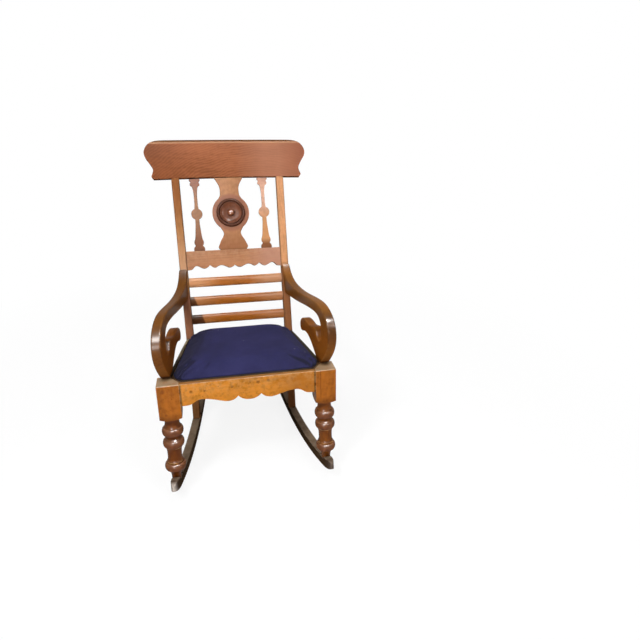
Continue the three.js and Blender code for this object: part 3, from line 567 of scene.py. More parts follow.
def wood(name, tone, contrast=0.22, turn=(0, 0, 0), ring=9, seed=1, rough=0.42, coat=0.2, coat_rough=0.2,
         worn=None, wear=0.5, dirt_and_corner_shade=0.75, figure=0.16, painted_side_shade=0.5, marks=(), tints=(), arch=None, mottle=0.3):
    material, tree, shader = new_finish(name)
    spot = add_node(tree, "TexCoord").outputs["Object"]
    bench = bench_place(tree, spot)
    rings, streaks, pores, patches = grain(tree, spot, turn, seed, ring)
    if arch:
        rings = arched_rings(tree, bench, arch, ring)
    shade = calc(tree, "MULTIPLY", spread(tree, streaks, 0.3, 0.7), 0.4)
    shade = calc(tree, "MULTIPLY_ADD", rings, figure, shade)
    shade = calc(tree, "MULTIPLY_ADD", spread(tree, patches, 0.3, 0.7), 0.6, shade)
    shade = calc(tree, "DIVIDE", shade, 1.0 + figure)
    dark, middle, light = shades(tone, contrast)
    colour = ramp(tree, shade, [(0.2, dark), (0.5, middle), (0.8, light)])
    cloud = noise(tree, spot, 55, 7, Roughness=0.66)
    colour = mixed(tree, spread(tree, cloud, 0.5, 0.34, 0, mottle), colour, darker(middle, 0.62))
    colour = mixed(tree, spread(tree, cloud, 0.5, 0.68, 0, mottle), colour, light)
    colour = mixed(tree, spread(tree, pores, 0.55, 0.75, 0, 0.25), colour, dark)
    if marks:
        colour = stained(tree, bench, colour, marks)
    colour = tinted(tree, bench, colour, tints)
    # Painted shade: faces that look sideways or down are darkened.
    sideways = calc(tree, "ABSOLUTE", looks(tree)[0])
    colour = mixed(tree, spread(tree, sideways, 0.45, 0.95, 0, painted_side_shade), colour, darker(middle, 0.3))
    underside_shade_share = spread(tree, looks(tree)[2], -0.3, -0.85, 0, painted_underside_shade)
    colour = mixed(tree, underside_shade_share, colour, darker(middle, 0.2))
    rub = noise(tree, spot, 60, 4, Roughness=0.65)
    if worn:
        edge = add_node(tree, "Attribute", attribute_name="wear").outputs["Fac"]
        edge = calc(tree, "MULTIPLY", edge, spread(tree, rub, 0.4, 0.58, 0, wear))
        edge = calc(tree, "MULTIPLY", edge, spread(tree, looks(tree)[1], 0.7, 0.4))
        colour = mixed(tree, edge, colour, paint(worn))
    # Dirt and painted shade: the colour darkens in corners and creases that the Ambient Occlusion node
    # finds.
    corners = add_node(tree, "AmbientOcclusion", {"Distance": 0.02}, samples=8).outputs["AO"]
    grime_and_corner_shade = spread(tree, corners, 0.85, 0.3, 0, dirt_and_corner_shade)
    colour = mixed(tree, grime_and_corner_shade, colour, darker(middle, 0.12))
    tree.links.new(colour, shader.inputs["Base Color"])
    gloss = calc(tree, "MULTIPLY_ADD", rub, 0.24, rough - 0.12)
    gloss = calc(tree, "MULTIPLY_ADD", grime_and_corner_shade, 0.3, gloss)
    tree.links.new(gloss, shader.inputs["Roughness"])
    set_values(shader, {
        "Specular IOR Level": varnish_gloss, "Coat Weight": coat, "Coat IOR": varnish_ior,
        "Coat Roughness": coat_rough,
    })
    height = calc(tree, "MULTIPLY_ADD", pores, -0.3, calc(tree, "MULTIPLY", rub, 0.6))
    height = calc(tree, "MULTIPLY_ADD", streaks, 0.2, height)
    roughened(tree, shader, height, 0.3, 0.0005)
    return material


# %% [markdown]
# The picture shows how the same wood differs over the chair. The crest rail is a reddish satin brown, the
# posts are honey, the splats tan, the roundel a dark plum brown, the arms dark and glossy, the seat's
# front rail golden orange, and the rockers grey from dust and shoes. The rows for each part come first:
# pale stretches and dark stretches, painted sheen and painted highlights, painted shade at joints, below
# the seat and on the roundel's rim, and the painted shadow of the arm on the left ends of the slats.

# %% Changes on each part
top_face = ("level", -3.0, -0.6)
dull = (top_face, ("rough", 0.25, 0.5, 0.6, 1.0))
turned_part = ("level", -118, -131)
to_front = ("faces_back", -0.2, -0.6)
leg_tints = [
    (1, "7A3A0C", turned_part, ("side", -100, 100, 0.8, 0.4)),
    (0.4, "6E3C14", ("side", -268, -284)),
    (0.5, "4A260C", ("level", -98, -117)),
]
for share in ring_shares:
    middle = -block_height - stem_length * share
    leg_tints.append(
        (0.9, "78482F", ("level", middle - 16, middle - 10), ("level", middle + 16, middle + 10))
    )
leg_tints += [
    (0.3, "8A6C54", turned_part, ("faces_up", 0.2, 0.8)),
    (0.6, "3A1C0A", ("side", 235.4, 236.5), ("side", 238.6, 237.5), ("level", -112, -98)),
    (1, "A48868", *dull),
]
apron_tints = [
    (0.75, "AC6722", ("side", 60, 150)),
    # Painted shade: thin dark strips at both ends, in the gap to the leg blocks.
    (0.85, "2A1608", ("side", 213, 217)),
    (0.85, "2A1608", ("side", -213, -217)),
    (1, "A06C38", *dull),
]
side_rail_tints = [
    (1, "9A8A70", *dull),
    # Painted shadow: the top of the rail at the viewer's right is dark all along, and the top of the rail
    # at the viewer's left is dark at its front.
    (0.9, "2A2420", top_face, ("side", -50, 50)),
    (0.9, "2A2420", top_face, ("side", 50, -50), ("forward", 250, 190)),
]
rocker_tints = [
    (1, "887460", ("faces_up", 0.3, 0.8), ("dust", 0.25, 0.6, 0.55, 1.0)),
    (0.7, "4E4038", ("forward", 6, -8)),
    # Pale worn tip, which is also a painted highlight, strongest on the rocker at the viewer's left.
    (1, "C4B8AE", ("forward", -12, -27), ("side", 90, -90, 0.1, 0.9)),
]
crest_tints = [
    # Painted sheen: the right part of the crest is paler and pinker.
    (0.5, "B47A5E", ("side", 30, 140)),
    (0.75, "8C4C30", ("side", 200, 290)),
    (0.5, "6E3A1E", ("side", -120, -300)),
    # Painted highlight: a pale band along the top roll.
    (0.6, "D0A07C", ("faces_up", 0.48, 0.6)),
    (0.85, "543218", ("faces_up", 0.74, 0.88)),
]
splat_tints = [(0.8, "96604C", ("from_disc", 76, 66)), (0.6, "9A6240", ("level", 400, 330))]
dark_splat_tints = [(0.8, "7E4A30", ("level", 430, 350)), (0.8, "8A5440", ("level", 500, 560))]
pale_splat_tints = [
    (0.7, "D08F4E", ("level", 470, 420)),
    (0.9, "7E4A2C", ("level", 352, 330)),
    (0.6, "AE7A66", ("level", 540, 575)),
]
# Painted shade: the roundel's outer rim, past 39 mm from the middle, is darker.
roundel_tints = [(0.75, "4A281A", ("from_disc", 39, 43))]
post_tints = [
    # Painted shade: the upper post is darker. Painted light: a paler band between about 200 and 400 mm.
    (0.9, "925A36", ("level", 380, 520)),
    (0.55, "DCAC8A", ("level", 400, 250), ("level", 200, 220)),
    (0.8, "96624C", ("level", 175, 155), ("level", -30, 0)),
    # Painted shade below the seat.
    (0.6, "5A3214", ("level", -30, -70)),
]
# The pale tone is turned darker again below 240 mm, and below the seat there is painted shade.
pale_post_tints = [(0.85, "86512F", ("level", 262, 240)), (0.7, "4A280E", ("level", -30, -70))]
# Painted sheen: the right part of the rail is paler and pinker.
rail_tints = [(0.8, "BE8A74", ("side", 40, 130))]
slat_tints = [
    # Painted highlights: the left and right ends of the slats are paler.
    (0.7, "D8A074", ("side", -60, -140)),
    (0.65, "D09A72", ("side", 50, 120)),
    (0.7, "96520E", ("level", 190, 110)),
    # Painted shadow of the arm: the left ends of the lower two slats are dark, up to a slanted line.
    (0.8, "2E180E", ("painted_shadow_line", -110, -115), ("level", 185, 165)),
]
arm_tints = [
    (0.75, "684218", ("level", 105, 170)),
    (0.5, "4E3420", to_front, ("level", 60, 120)),
    (0.3, "2E1C12", to_front, ("level", 60, 120), ("side", 0, 100)),
    (0.55, "A86E34", to_front, ("level", 80, 40)),
    (0.6, "A86C34", ("side", 0, 100), ("level", 180, 225)),
    # Painted shade: the sides that face outward are darker.
    (0.6, "341E0E", ("side", -1, 1), ("faces_right", 0.2, 0.6)),
    (0.6, "341E0E", ("side", 1, -1), ("faces_right", -0.2, -0.6)),
    (0.7, "2E1608", ("level", 22, 4)),
]
apron_knots = [
    ((-184.6, 2, -29.7), 7, 0.75), ((-142.9, 2, -31.1), 6, 0.7), ((-55.8, 2, -27.2), 5, 0.6),
    ((28.3, 2, -18.9), 8, 0.75), ((62.7, 2, -15.6), 6, 0.7), ((140.4, 2, -19), 8, 0.6),
    ((190.2, 2, -54.4), 7, 0.85), ((166.6, 2, -44.2), 4, 0.6), ((2.5, 2, -15.9), 4, 0.5),
    ((-150, 2, -50), 3, 0.5), ((100, 2, -40), 3, 0.4), ((-20, 2, -52), 3, 0.4), ((-100, 2, -20), 3, 0.5),
]
crest_dents = [
    ((-110, 598, 646), 8, 0.35), ((-92, 598, 645), 9, 0.4), ((-74, 598, 646), 7, 0.3),
    ((106, 613, 694), 6, 0.4), ((118, 613, 695), 5, 0.4),
]
leg_dents = [((-271, 0, -20), 9, 0.45), ((-268, 0, -103), 6, 0.4), ((-246, 0, -48), 4, 0.4)]
print(len(leg_tints) + len(arm_tints), "changes on legs and arms")

# %% One finish for each kind of part
upright, endwise, raked = (0, 90, 0), (0, 0, -90), (17, 90, 0)
crest_finish = wood(
    "crest_varnish", "985834", ring=9, seed=3, coat=0.01, coat_rough=0.3, worn="CFA27E", wear=0.12,
    figure=0.34, contrast=0.28, painted_side_shade=0.9, arch=(116, 108), tints=crest_tints, marks=crest_dents
)
post_finish = wood(
    "post_varnish", "AC784C", turn=raked, ring=8, seed=5, rough=0.38, coat=0.0, worn="D8AE84",
    wear=0.3, painted_side_shade=0.8, tints=post_tints
)
# Painted sheen: the post at the viewer's right gets a paler tone that stands in for reflected light.
painted_sheen_post_finish = wood(
    "post_varnish_painted_sheen", "D6996A", turn=raked, ring=8, seed=6, rough=0.38, coat=0.03, worn="E6C8A0",
    wear=0.3, painted_side_shade=0.8, tints=pale_post_tints
)
splat_finish = wood(
    "splat_varnish", "AE7850", turn=upright, ring=10, seed=8, rough=0.46, coat=0.03, worn="C99C78",
    wear=0.25, painted_side_shade=0.8, tints=splat_tints
)
dark_splat_finish = wood(
    "dark_splat_varnish", "966642", turn=upright, ring=9, seed=11, rough=0.46, coat=0.03, worn="B08870",
    wear=0.2, painted_side_shade=0.8, tints=dark_splat_tints
)
# Painted sheen: the side splat at the viewer's right gets a paler tone that stands in for reflected light.
painted_sheen_splat_finish = wood(
    "splat_varnish_painted_sheen", "D2A288", turn=upright, ring=9, seed=14, rough=0.44, coat=0.05, worn="E0C0A0",
    wear=0.2, painted_side_shade=0.7, tints=pale_splat_tints
)
roundel_finish = wood(
    "roundel_varnish", "744632", turn=upright, ring=8, seed=17, rough=0.4, coat=0.03, worn="96705C",
    wear=0.2, dirt_and_corner_shade=0.95, painted_side_shade=0.2, tints=roundel_tints
)
button_finish = wood(
    "button_varnish", "8A5234", turn=upright, ring=8, seed=18, rough=0.3, coat=0.5, coat_rough=0.12,
    dirt_and_corner_shade=0.95, painted_side_shade=0.2
)
rail_finish = wood(
    "back_rail_varnish", "B27A54", turn=(0, 2, 0), ring=10, seed=20, coat=0.05, worn="D6AE88",
    wear=0.3, marks=[((6, 488, 318), 4, 0.7)], tints=rail_tints
)
slat_finish = wood(
    "slat_varnish", "B26A2E", turn=(0, 1, 0), ring=8, seed=23, rough=0.34, coat=0.035, coat_rough=0.23,
    worn="DDBE9C", wear=0.3, tints=slat_tints
)
arm_finish = wood(
    "arm_varnish", "8A4E16", turn=endwise, ring=11, seed=26, rough=0.4, coat=0.24, coat_rough=0.28,
    worn="8E6238", wear=0.3, painted_side_shade=0.0, tints=arm_tints
)
warm_arm_finish = wood(
    "warm_arm_varnish", "8C5018", turn=endwise, ring=11, seed=31, rough=0.4, coat=0.22, worn="9A6A3A",
    wear=0.3, painted_side_shade=0.0, tints=arm_tints
)
leg_finish = wood(
    "leg_varnish", "AA601A", turn=upright, ring=11, seed=34, rough=0.38, coat=0.32, coat_rough=0.26,
    worn="D2A468", wear=0.5, painted_side_shade=0.8, tints=leg_tints, mottle=0.7, marks=leg_dents
)
apron_finish = wood(
    "apron_varnish", "CE822D", turn=(0, 3, 0), ring=14, seed=37, worn="DEB478", wear=0.4,
    marks=apron_knots, tints=apron_tints, mottle=0.85
)
side_rail_finish = wood(
    "side_rail_varnish", "8A6A48", turn=endwise, ring=10, seed=40, rough=0.5, coat=0.05,
    tints=side_rail_tints
)
rocker_finish = wood(
    "rocker_varnish", "523E2C", turn=endwise, ring=9, seed=43, rough=0.5, coat=0.0, worn="8E7C6C",
    wear=0.45, tints=rocker_tints
)
hidden_finish = wood(
    "bare_beech", "6E5640", turn=endwise, ring=8, seed=46, rough=0.7, coat=0.0, dirt_and_corner_shade=0.4, painted_side_shade=0.0
)
print(len(bpy.data.materials), "finishes")

# %% [markdown]
# ## Front legs
# Each leg is one piece: a square block that the rails are joined to, and a turned stem below it. The
# turner takes a square blank and turns only the lower part, which leaves the rounded tongue where square
# and round meet. That is also the best way here: the turned shape and the square blank are intersected.

# %% Profile of a front leg
leg_outer_x, block_side, ring_radius, shoulder_height, leg_splay = 290, 70, 34.7, 15, 5.9
low_ring, middle_ring, high_ring = ring_shares


def ring(level_share, half_share, inner_share, steps=30):
    points = []
    for t in shares_of(steps):
        swing = math.pi * (t - 0.5)
        radius = ring_radius * (inner_share + (1 - inner_share) * math.cos(swing))
        points.append((radius, -block_height - stem_length * (level_share - half_share * math.sin(swing))))
    return points


def stem(shares, steps=4):
    return drawn(sized(shares, ring_radius, -stem_length, -block_height), steps)


half_block = block_side / 2
corner_radius = half_block * math.sqrt(2)
tongue_shares = [(0.51, 1), (0.56, 0.62), (0.68, 0.45), (0.82, 0.3), (0.93, 0.12), (1.02, 0)]
tongue = sized(tongue_shares, corner_radius, -shoulder_height, -block_height)
leg_profile = [
    (0, -leg_length),
    *stem([(0.44, 1), (0.46, 0.95), (0.55, 0.892), (0.7, 0.859)]),
    *ring(low_ring, 0.058, 0.76),
    *stem([(0.78, 0.71), (0.683, 0.677), (0.67, 0.606), (0.7, 0.536), (0.8, 0.49)]),
    *ring(middle_ring, 0.056, 0.8),
    *stem([(0.66, 0.35), (0.64, 0.329), (0.66, 0.31)]),
    *ring(high_ring, 0.058, 0.8),
    *stem([(0.74, 0.163), (0.68, 0.122), (0.68, 0.075)]),
    *drawn(tongue, 4),
    (corner_radius * 1.02, 20),
    (0, 20),
]
print("leg profile", len(leg_profile), "points")

# %% [markdown]
# The seat sits in a shallow rebate that is cut round the inside of the rails and a little into the leg
# blocks. Its plan is worked out once, from the seat's corners, and used as the chisel for all of them.

# %% The seat's pocket
arm_thickness, arm_joint_x, arm_front_x, arm_nose_y, arm_joint_y = 30, 196.5, 264.5, -20, 478
arm_slope = (arm_front_x - arm_joint_x) / (arm_joint_y - half_block)
seat_gap, rebate_depth = 1.5, 16
seat_front, block_clear, seat_rear, tongue_rear = 19, 57, 392.5, 416
block_inner_x = leg_outer_x - block_side
post_inner = post_x - post_width / 2


def seat_edge(y):
    return arm_front_x - arm_thickness / 2 - seat_gap - arm_slope * (y - half_block)


def seat_pocket():
    half = [
        (block_inner_x, seat_front - seat_gap),
        (seat_edge(block_clear) + seat_gap, block_clear),
        (seat_edge(seat_rear) + seat_gap, seat_rear + seat_gap),
        (post_inner, seat_rear + seat_gap),
        (post_inner, tongue_rear + seat_gap),
    ]
    return sawn(half + flipped(half), "z", -rebate_depth, 60)


print("the pocket is", round(2 * seat_edge(block_clear), 1), "mm wide behind the leg blocks")


# %% Front legs
blank = block((-half_block, half_block), (-half_block, half_block), (-leg_length - 1, 0))
uprights = [e for e in blank.edges if abs(e.verts[0].co.z - e.verts[1].co.z) > 1]
tops = [e for e in blank.edges if min(v.co.z for v in e.verts) > -1]
softened(blank, uprights + tops, 2)
leg = carved(turned(leg_profile, 72), blank, "INTERSECT")
for vert in leg.verts:
    share = min(1, max(0, (-block_height - vert.co.z) / stem_length))
    vert.co.x += leg_splay * share
bmesh.ops.translate(leg, vec=(leg_outer_x - half_block, half_block, 0), verts=leg.verts)
fitted_pair("turned_leg", carved(leg, seat_pocket()), "front_leg", leg_finish)

# %% [markdown]
# ## Seat rails
# The front rail's lower edge is a serpentine line with two small points. Its marks are given as shares
# of the half width and of the depth. Each span between two points is one smooth line, and the left half
# mirrors the right one, which is how a template for a scroll saw is drawn.


# %% Wavy edges
def wavy(half_width, low, depth, spans, steps=3):
    half = []
    for marks in spans:
        half += drawn(sized(marks, half_width, depth, low), steps)[bool(half):]
    return flipped(half)[:-1] + half


# %% Front rail
rail_height, apron_scallop, apron_setback, apron_thickness = 78, 18, 2, 30
joint_gap, arris = 0.1, 1.6
apron_spans = [
    [(0, 0), (0.05, 0.04), (0.085, 0.18), (0.13, 0.45), (0.172, 0.92)],
    [
        (0.172, 0.92), (0.2, 0.55), (0.245, 0.2), (0.315, 0.05), (0.37, 0.13), (0.44, 0.36), (0.52, 0.65),
        (0.6, 0.87), (0.68, 1), (0.735, 0.95), (0.78, 0.74), (0.82, 0.4), (0.855, 0.15), (0.91, 0.03),
        (1, 0),
    ],
]
apron_half = block_inner_x - joint_gap
apron_line = wavy(apron_half, -rail_height, apron_scallop, apron_spans)
apron_line += [(apron_half, 0), (-apron_half, 0)]
apron = sawn(apron_line, "y", apron_setback, apron_thickness, arris)
fitted("front_rail_board", carved(apron, seat_pocket()), apron_finish, "front_apron")

# %% [markdown]
# The side rails bow outward a little between the leg block and the post, and carry the seat on a ledge.
# Polish never reached their tops, so those are dull and grey. Where a rail meets a leg or a post, a hair
# of air is left, so that two pieces never share a face.

# %% Side rails
rail_front, rail_rear, rail_ledge = block_side + joint_gap, post_front - joint_gap, 14
rail_front_x, rail_rear_x, rail_bow = 254, 203, 8
rail_outline = []
for t in shares_of(16):
    x = blend_of(rail_front_x, rail_rear_x, t) + rail_bow * t * (1 - t)
    rail_outline.append((x, blend_of(rail_front, rail_rear, t)))
rail_outline += [
    (seat_edge(rail_rear) - rail_ledge, rail_rear),
    (seat_edge(rail_front) - rail_ledge, rail_front),
]
rail = carved(sawn(rail_outline, "z", -rail_height, rail_height, arris), seat_pocket())
fitted_pair("side_rail_board", rail, "side_rail", side_rail_finish)

# %% [markdown]
# The rear rail joins the posts behind the seat. It is a plain board with softened edges.

# %% Rear rail
rear_rail_front, rear_rail_back, rear_half = 399, 429, post_inner - joint_gap
board = block((-rear_half, rear_half), (rear_rail_front, rear_rail_back), (-rail_height, 0))
softened(board, board.edges, 1.5)
fitted("rear_rail_board", carved(board, seat_pocket()), post_finish, "rear_rail")

# %% [markdown]
# ## Back posts
# Each post and its rear leg are one length of wood, upright below the seat and raked above it. The front
# is rounded where arms and hands touch it. A rounded section runs up through stations that turn at the
# bend and grow thinner towards the crest.

# %% Back posts
foot_depth, top_depth, bend_reach = 30, 25, 8
crest_camber, crest_half_width = 9.5, 302


def crest_line(x):
    return crest_foot - crest_camber * (x / crest_half_width) ** 2


post_length = crest_line(post_top_x - post_width / 2)
rocker_radius, rocker_low_y, rocker_height, rocker_width, leg_sunk = 1000, 200, 36, 30, 6.2


def arc_rise(y):
    return math.sqrt((rocker_radius - rocker_height) ** 2 - (y - rocker_low_y) ** 2)


rocker_mid_z = arc_rise(half_block) - leg_length + leg_sunk


def rocker_top(y):
    return rocker_mid_z - arc_rise(y)


def post_middle(up):
    return blend_of(post_x, post_top_x, up / post_length)


def station(z, mid_x, front_y, depth, tilt):
    return (
        Matrix.Translation((mid_x, front_y, z))
        @ Matrix.Rotation(-tilt, 4, "X")
        @ Matrix.Scale(depth / post_depth, 4, (0, 1, 0))
    )


stations = []
for t in shares_of(8)[:-1]:
    z = blend_of(rocker_top(post_front), -rail_height / 2, t)
    depth = blend_of(foot_depth, post_depth, t)
    stations.append(station(z, blend_of(post_foot_x, post_x, t), post_front, depth, 0))
for t in shares_of(8):
    z = blend_of(-bend_reach, bend_reach, t)
    front = post_front + max(0, z) * math.tan(rake) * t
    stations.append(station(z, post_x, front, post_depth, rake * t))
for t in shares_of(24)[1:]:
    up = blend_of(bend_reach + 4, post_length, t)
    front = post_front + up * math.sin(rake)
    depth = blend_of(post_depth, top_depth, up / post_length)
    stations.append(station(up * math.cos(rake), post_middle(up), front, depth, rake))
post = run_along(rounded_section(post_width, post_depth, 7, 3, 8), stations)
fitted_pair("back_post_wood", post, "back_post", post_finish, painted_sheen_post_finish)

# %% [markdown]
# ## Rockers
# A rocker is sawn from a board on an arc of one metre and rounded at both ends. The section runs along
# the arc, and near each end the stations close up and shrink in height and in width, which gives the
# blunt nose. A small flat is cut into the top where each leg stands.

# %% Rockers
rocker_front_y, rocker_rear_y, rocker_nose, rocker_front_x = -32, 655, 44, 258.5
tip_height, tip_width, tip_pace = 0.4, 0.14, 1.6
rear_leg_y = post_front + 15


def rocker_mid_x(y):
    return blend_of(rocker_front_x, post_foot_x, (y - half_block) / (rear_leg_y - half_block))


def quarter_round(t):
    return math.sqrt(max(0, 1 - (1 - t) ** 2))


arc_start = math.asin((rocker_front_y - rocker_low_y) / rocker_radius)
arc_end = math.asin((rocker_rear_y - rocker_low_y) / rocker_radius)
nose_turn = rocker_nose / rocker_radius
turns = [arc_start + nose_turn * t**2 for t in shares_of(10)]
turns += [blend_of(arc_start + nose_turn, arc_end - nose_turn, t) for t in shares_of(48)[1:-1]]
turns += [arc_end - nose_turn * t**2 for t in reversed(shares_of(10))]
stations = []
for swing in turns:
    in_nose = min(1, min(swing - arc_start, arc_end - swing) / nose_turn)
    share = blend_of(tip_height, 1, quarter_round(min(1, in_nose * tip_pace)))
    width_share = max(tip_width, quarter_round(in_nose))
    height = rocker_height * share
    middle = rocker_radius - height / 2 - 0.3 * (rocker_height - height)
    y = rocker_low_y + middle * math.sin(swing)
    where = (rocker_mid_x(y), y, rocker_mid_z - middle * math.cos(swing))
    stations.append(
        Matrix.Translation(where)
        @ Matrix.Rotation(swing, 4, "X")
        @ Matrix.Rotation(math.pi / 2, 4, "X")
        @ Matrix.Diagonal((width_share, share, 1, 1))
        @ Matrix.Translation((0, -rocker_height / 2, 0))
    )
rocker = run_along(rounded_section(rocker_width, rocker_height, 4, 4, 4), stations)
foot_x = leg_outer_x - half_block + leg_splay
foot_half = ring_radius / 2
front_flat = block(
    (foot_x - 24, foot_x + 24), (half_block - foot_half, half_block + foot_half),
    (-leg_length, -leg_length + 40)
)
rear_foot = (post_front - 3, post_front + foot_depth + 3)
rear_flat = block((170, 222), rear_foot, (rocker_top(post_front), -300))
rocker = carved(carved(rocker, front_flat), rear_flat)
fitted_pair("rocker_wood", rocker, "rocker", rocker_finish)

# %% [markdown]
# ## Ladder slats
# The three slats bow to the rear to fit a sitter's back and are rounded in front. Half an ellipse and a
# flat back make the section, which runs across the chair on a shallow parabola.

# %% Slats
slat_height, slat_thickness, slat_nose, slat_arris = 36, 13, 7, 1.5
slat_bow, slat_setback, slat_tenon = 18, 7, 4


def post_inner_at(up):
    return post_middle(up) - post_width / 2


slat_feet = {"upper": 195, "middle": 122.5, "lower": 52.5}
for name, foot in slat_feet.items():
    half_width = post_inner_at(foot) + slat_tenon
    section = bmesh.new()
    rim = []
    for t in shares_of(16):
        swell = math.sqrt(max(0, 1 - (2 * t - 1) ** 2))
        rim.append((0, slat_nose * (1 - swell), slat_height * t))
    rim += [(0, slat_thickness - slat_arris, slat_height), (0, slat_thickness, slat_height - slat_arris)]
    rim += [(0, slat_thickness, slat_arris), (0, slat_thickness - slat_arris, 0)]
    section.faces.new([section.verts.new(p) for p in rim])
    stations = []
    for t in shares_of(32):
        x = blend_of(-half_width, half_width, t)
        y = slat_setback + slat_bow * (1 - (x / half_width) ** 2)
        stations.append(Matrix.Translation((x, y, foot)))
    slat = run_along(section, stations)
    slat.transform(back)
    fitted(f"ladder_slat_{name}", slat, slat_finish, f"slat_{name}")

# %% [markdown]
# ## Lower back rail
# The rail under the splats has a scalloped lower edge, sawn like the front rail's.

# %% Lower back rail
back_rail_setback, rail_depth, back_scallop = 5, 20, 16.5
scallop_spans = [
    [
        (0, 0.76), (0.045, 0.36), (0.107, 0.14), (0.16, 0.3), (0.22, 0.64), (0.287, 0.84), (0.35, 0.68),
        (0.39, 0.4), (0.43, 0.29), (0.48, 0.52), (0.53, 1),
    ],
    [
        (0.53, 1), (0.575, 0.5), (0.648, 0.19), (0.715, 0.45), (0.765, 0.75), (0.812, 0.91),
        (0.85, 0.75), (0.885, 0.36), (0.92, 0.07), (1, 0),
    ],
]
low_half, top_half = post_inner_at(rail_foot) - joint_gap, post_inner_at(splat_foot) - joint_gap
outline = wavy(low_half, rail_foot, back_scallop, scallop_spans)
outline += [(top_half, splat_foot), (-top_half, splat_foot)]
back_rail = sawn(outline, "y", back_rail_setback, rail_depth, soften=1.4)
back_rail.transform(back)
fitted("lower_back_rail", back_rail, rail_finish, "back_rail")

# %% [markdown]
# ## Splats
# The central splat swells into a round disc between two waists, and the side splats repeat the theme on
# a small scale, with beads at both ends. The right half of each outline is drawn and mirrored.

# %% Splat outlines
splat_thickness, disc_radius, recess_radius, recess_depth = 12, 70.5, 54.8, 3


def disc_rows(radius, neck, steps=32):
    start = math.asin(neck / radius)
    rows = []
    for t in shares_of(steps):
        swing = blend_of(start, math.pi - start, t)
        rows.append((radius * math.sin(swing), disc_share - radius * math.cos(swing) / splat_length))
    return rows


def on_disc(depth):
    facing_front = Matrix.Rotation(math.pi / 2, 4, "X")
    return Matrix.Translation((0, splat_setback + depth, disc_level)) @ facing_front


def splat_outline(rows, reach):
    low, high = splat_foot + joint_gap, crest_line(reach) - joint_gap
    half = sized(rows, 1, high - low, low)
    return half + flipped(half)


# %% Central splat
foot_marks = [
    (0.7, 0), (0.8, 0.035), (0.75, 0.075), (0.65, 0.13), (0.51, 0.19), (0.466, 0.23), (0.5, 0.265),
]
head_marks = [(0.526, 0.755), (0.51, 0.84), (0.564, 0.9), (0.677, 0.955), (0.79, 1)]
rows = drawn(sized(foot_marks, disc_radius, 1), 4) + disc_rows(disc_radius, 0.62 * disc_radius)
rows += drawn(sized(head_marks, disc_radius, 1), 4)
splat = sawn(splat_outline(rows, disc_radius), "y", splat_setback, splat_thickness, arris)
recess = bmesh.new()
bmesh.ops.create_cone(
    recess, cap_ends=True, segments=96, radius1=recess_radius, radius2=recess_radius, depth=20,
    matrix=on_disc(recess_depth - 10)
)
splat = carved(splat, recess)
splat.transform(back)
fitted("central_splat", splat, splat_finish, "splat_center")

# %% Side splats
small_radius, side_splat_x, side_splat_thickness, side_splat_inset = 21, 129, 10, 1
foot_marks = [
    (0.96, 0), (0.99, 0.03), (0.87, 0.055), (0.65, 0.075), (0.79, 0.095), (0.85, 0.12), (0.79, 0.145),
    (0.69, 0.165), (0.6, 0.2), (0.48, 0.29), (0.38, 0.38),
]
head_marks = [
    (0.3, 0.64), (0.3, 0.76), (0.36, 0.83), (0.52, 0.89), (0.8, 0.905), (0.86, 0.925), (0.76, 0.945),
    (0.72, 0.955), (0.92, 0.97), (0.96, 0.985), (0.86, 1),
]
rows = drawn(sized(foot_marks, small_radius, 1), 3) + disc_rows(small_radius, 0.38 * small_radius, 24)
rows += drawn(sized(head_marks, small_radius, 1), 3)
outline = splat_outline(rows, side_splat_x + small_radius)
side = sawn(outline, "y", splat_setback + side_splat_inset, side_splat_thickness, soften=1.2)
side.transform(back @ Matrix.Translation((side_splat_x, 0, 0)))
fitted_pair("side_splat_wood", side, "side_splat", dark_splat_finish, painted_sheen_splat_finish)

# %% [markdown]
# ## Roundel and button
# The roundel is a turned plate with a raised rim, a groove, an inner ring and a dished middle, glued into
# a shallow recess of the disc. The button in its middle is a separate little turning on a stem.

# %% Roundel and button
roundel_radius, roundel_height, dish_share = 54.5, 11, 0.3
face_shares = [
    (1, 0), (1, 0.55), (0.985, 0.78), (0.94, 0.95), (0.89, 1), (0.84, 0.95), (0.81, 0.74), (0.8, 0.62),
    (0.77, 0.76), (0.74, 0.8), (0.7, 0.72), (0.62, 0.5), (0.48, 0.34), (0.34, dish_share), (0, dish_share),
]
front = sized(face_shares, roundel_radius, roundel_height)
profile = [(0, 0)] + front[:1] + drawn(front[1:], 4)
in_recess = back @ on_disc(recess_depth - joint_gap)
roundel = turned(profile, 96)
roundel.transform(in_recess)
fitted("turned_roundel", roundel, roundel_finish, "roundel", sharp=50)
button_radius, button_height = 14, 13
swings = [t * math.pi / 2 for t in shares_of(12)]
dome = [(math.cos(swing) ** 0.8, 0.25 + 0.75 * math.sin(swing)) for swing in swings]
button_shares = [(0, 0), (0.8, 0), (0.8, 0.14), *dome]
seated = dish_share * roundel_height
button = turned(sized(button_shares, button_radius, button_height, seated), 48)
button.transform(in_recess)
fitted("turned_button", button, button_finish, "roundel_button", sharp=60)

# %% [markdown]
# ## Crest rail
# The crest is a bowed and cambered tablet. Its face is nearly flat, and its top rolls over to the rear in
# a quarter round. The section runs across the chair on the bow, and then the sawn outline of the ends is
# intersected with it, as a bowed board is sawn to its template.


# %% Crest section and outline
crest_height, crest_thickness, crest_bow, crest_roll, rear_arris = 148, 23, 28, 19, 3


def crest_offset(x):
    def bow(share):
        return crest_bow * (1 - share**2)

    on_post = (top_depth - crest_thickness) / 2
    return on_post + bow(x / crest_half_width) - bow(post_top_x / crest_half_width)


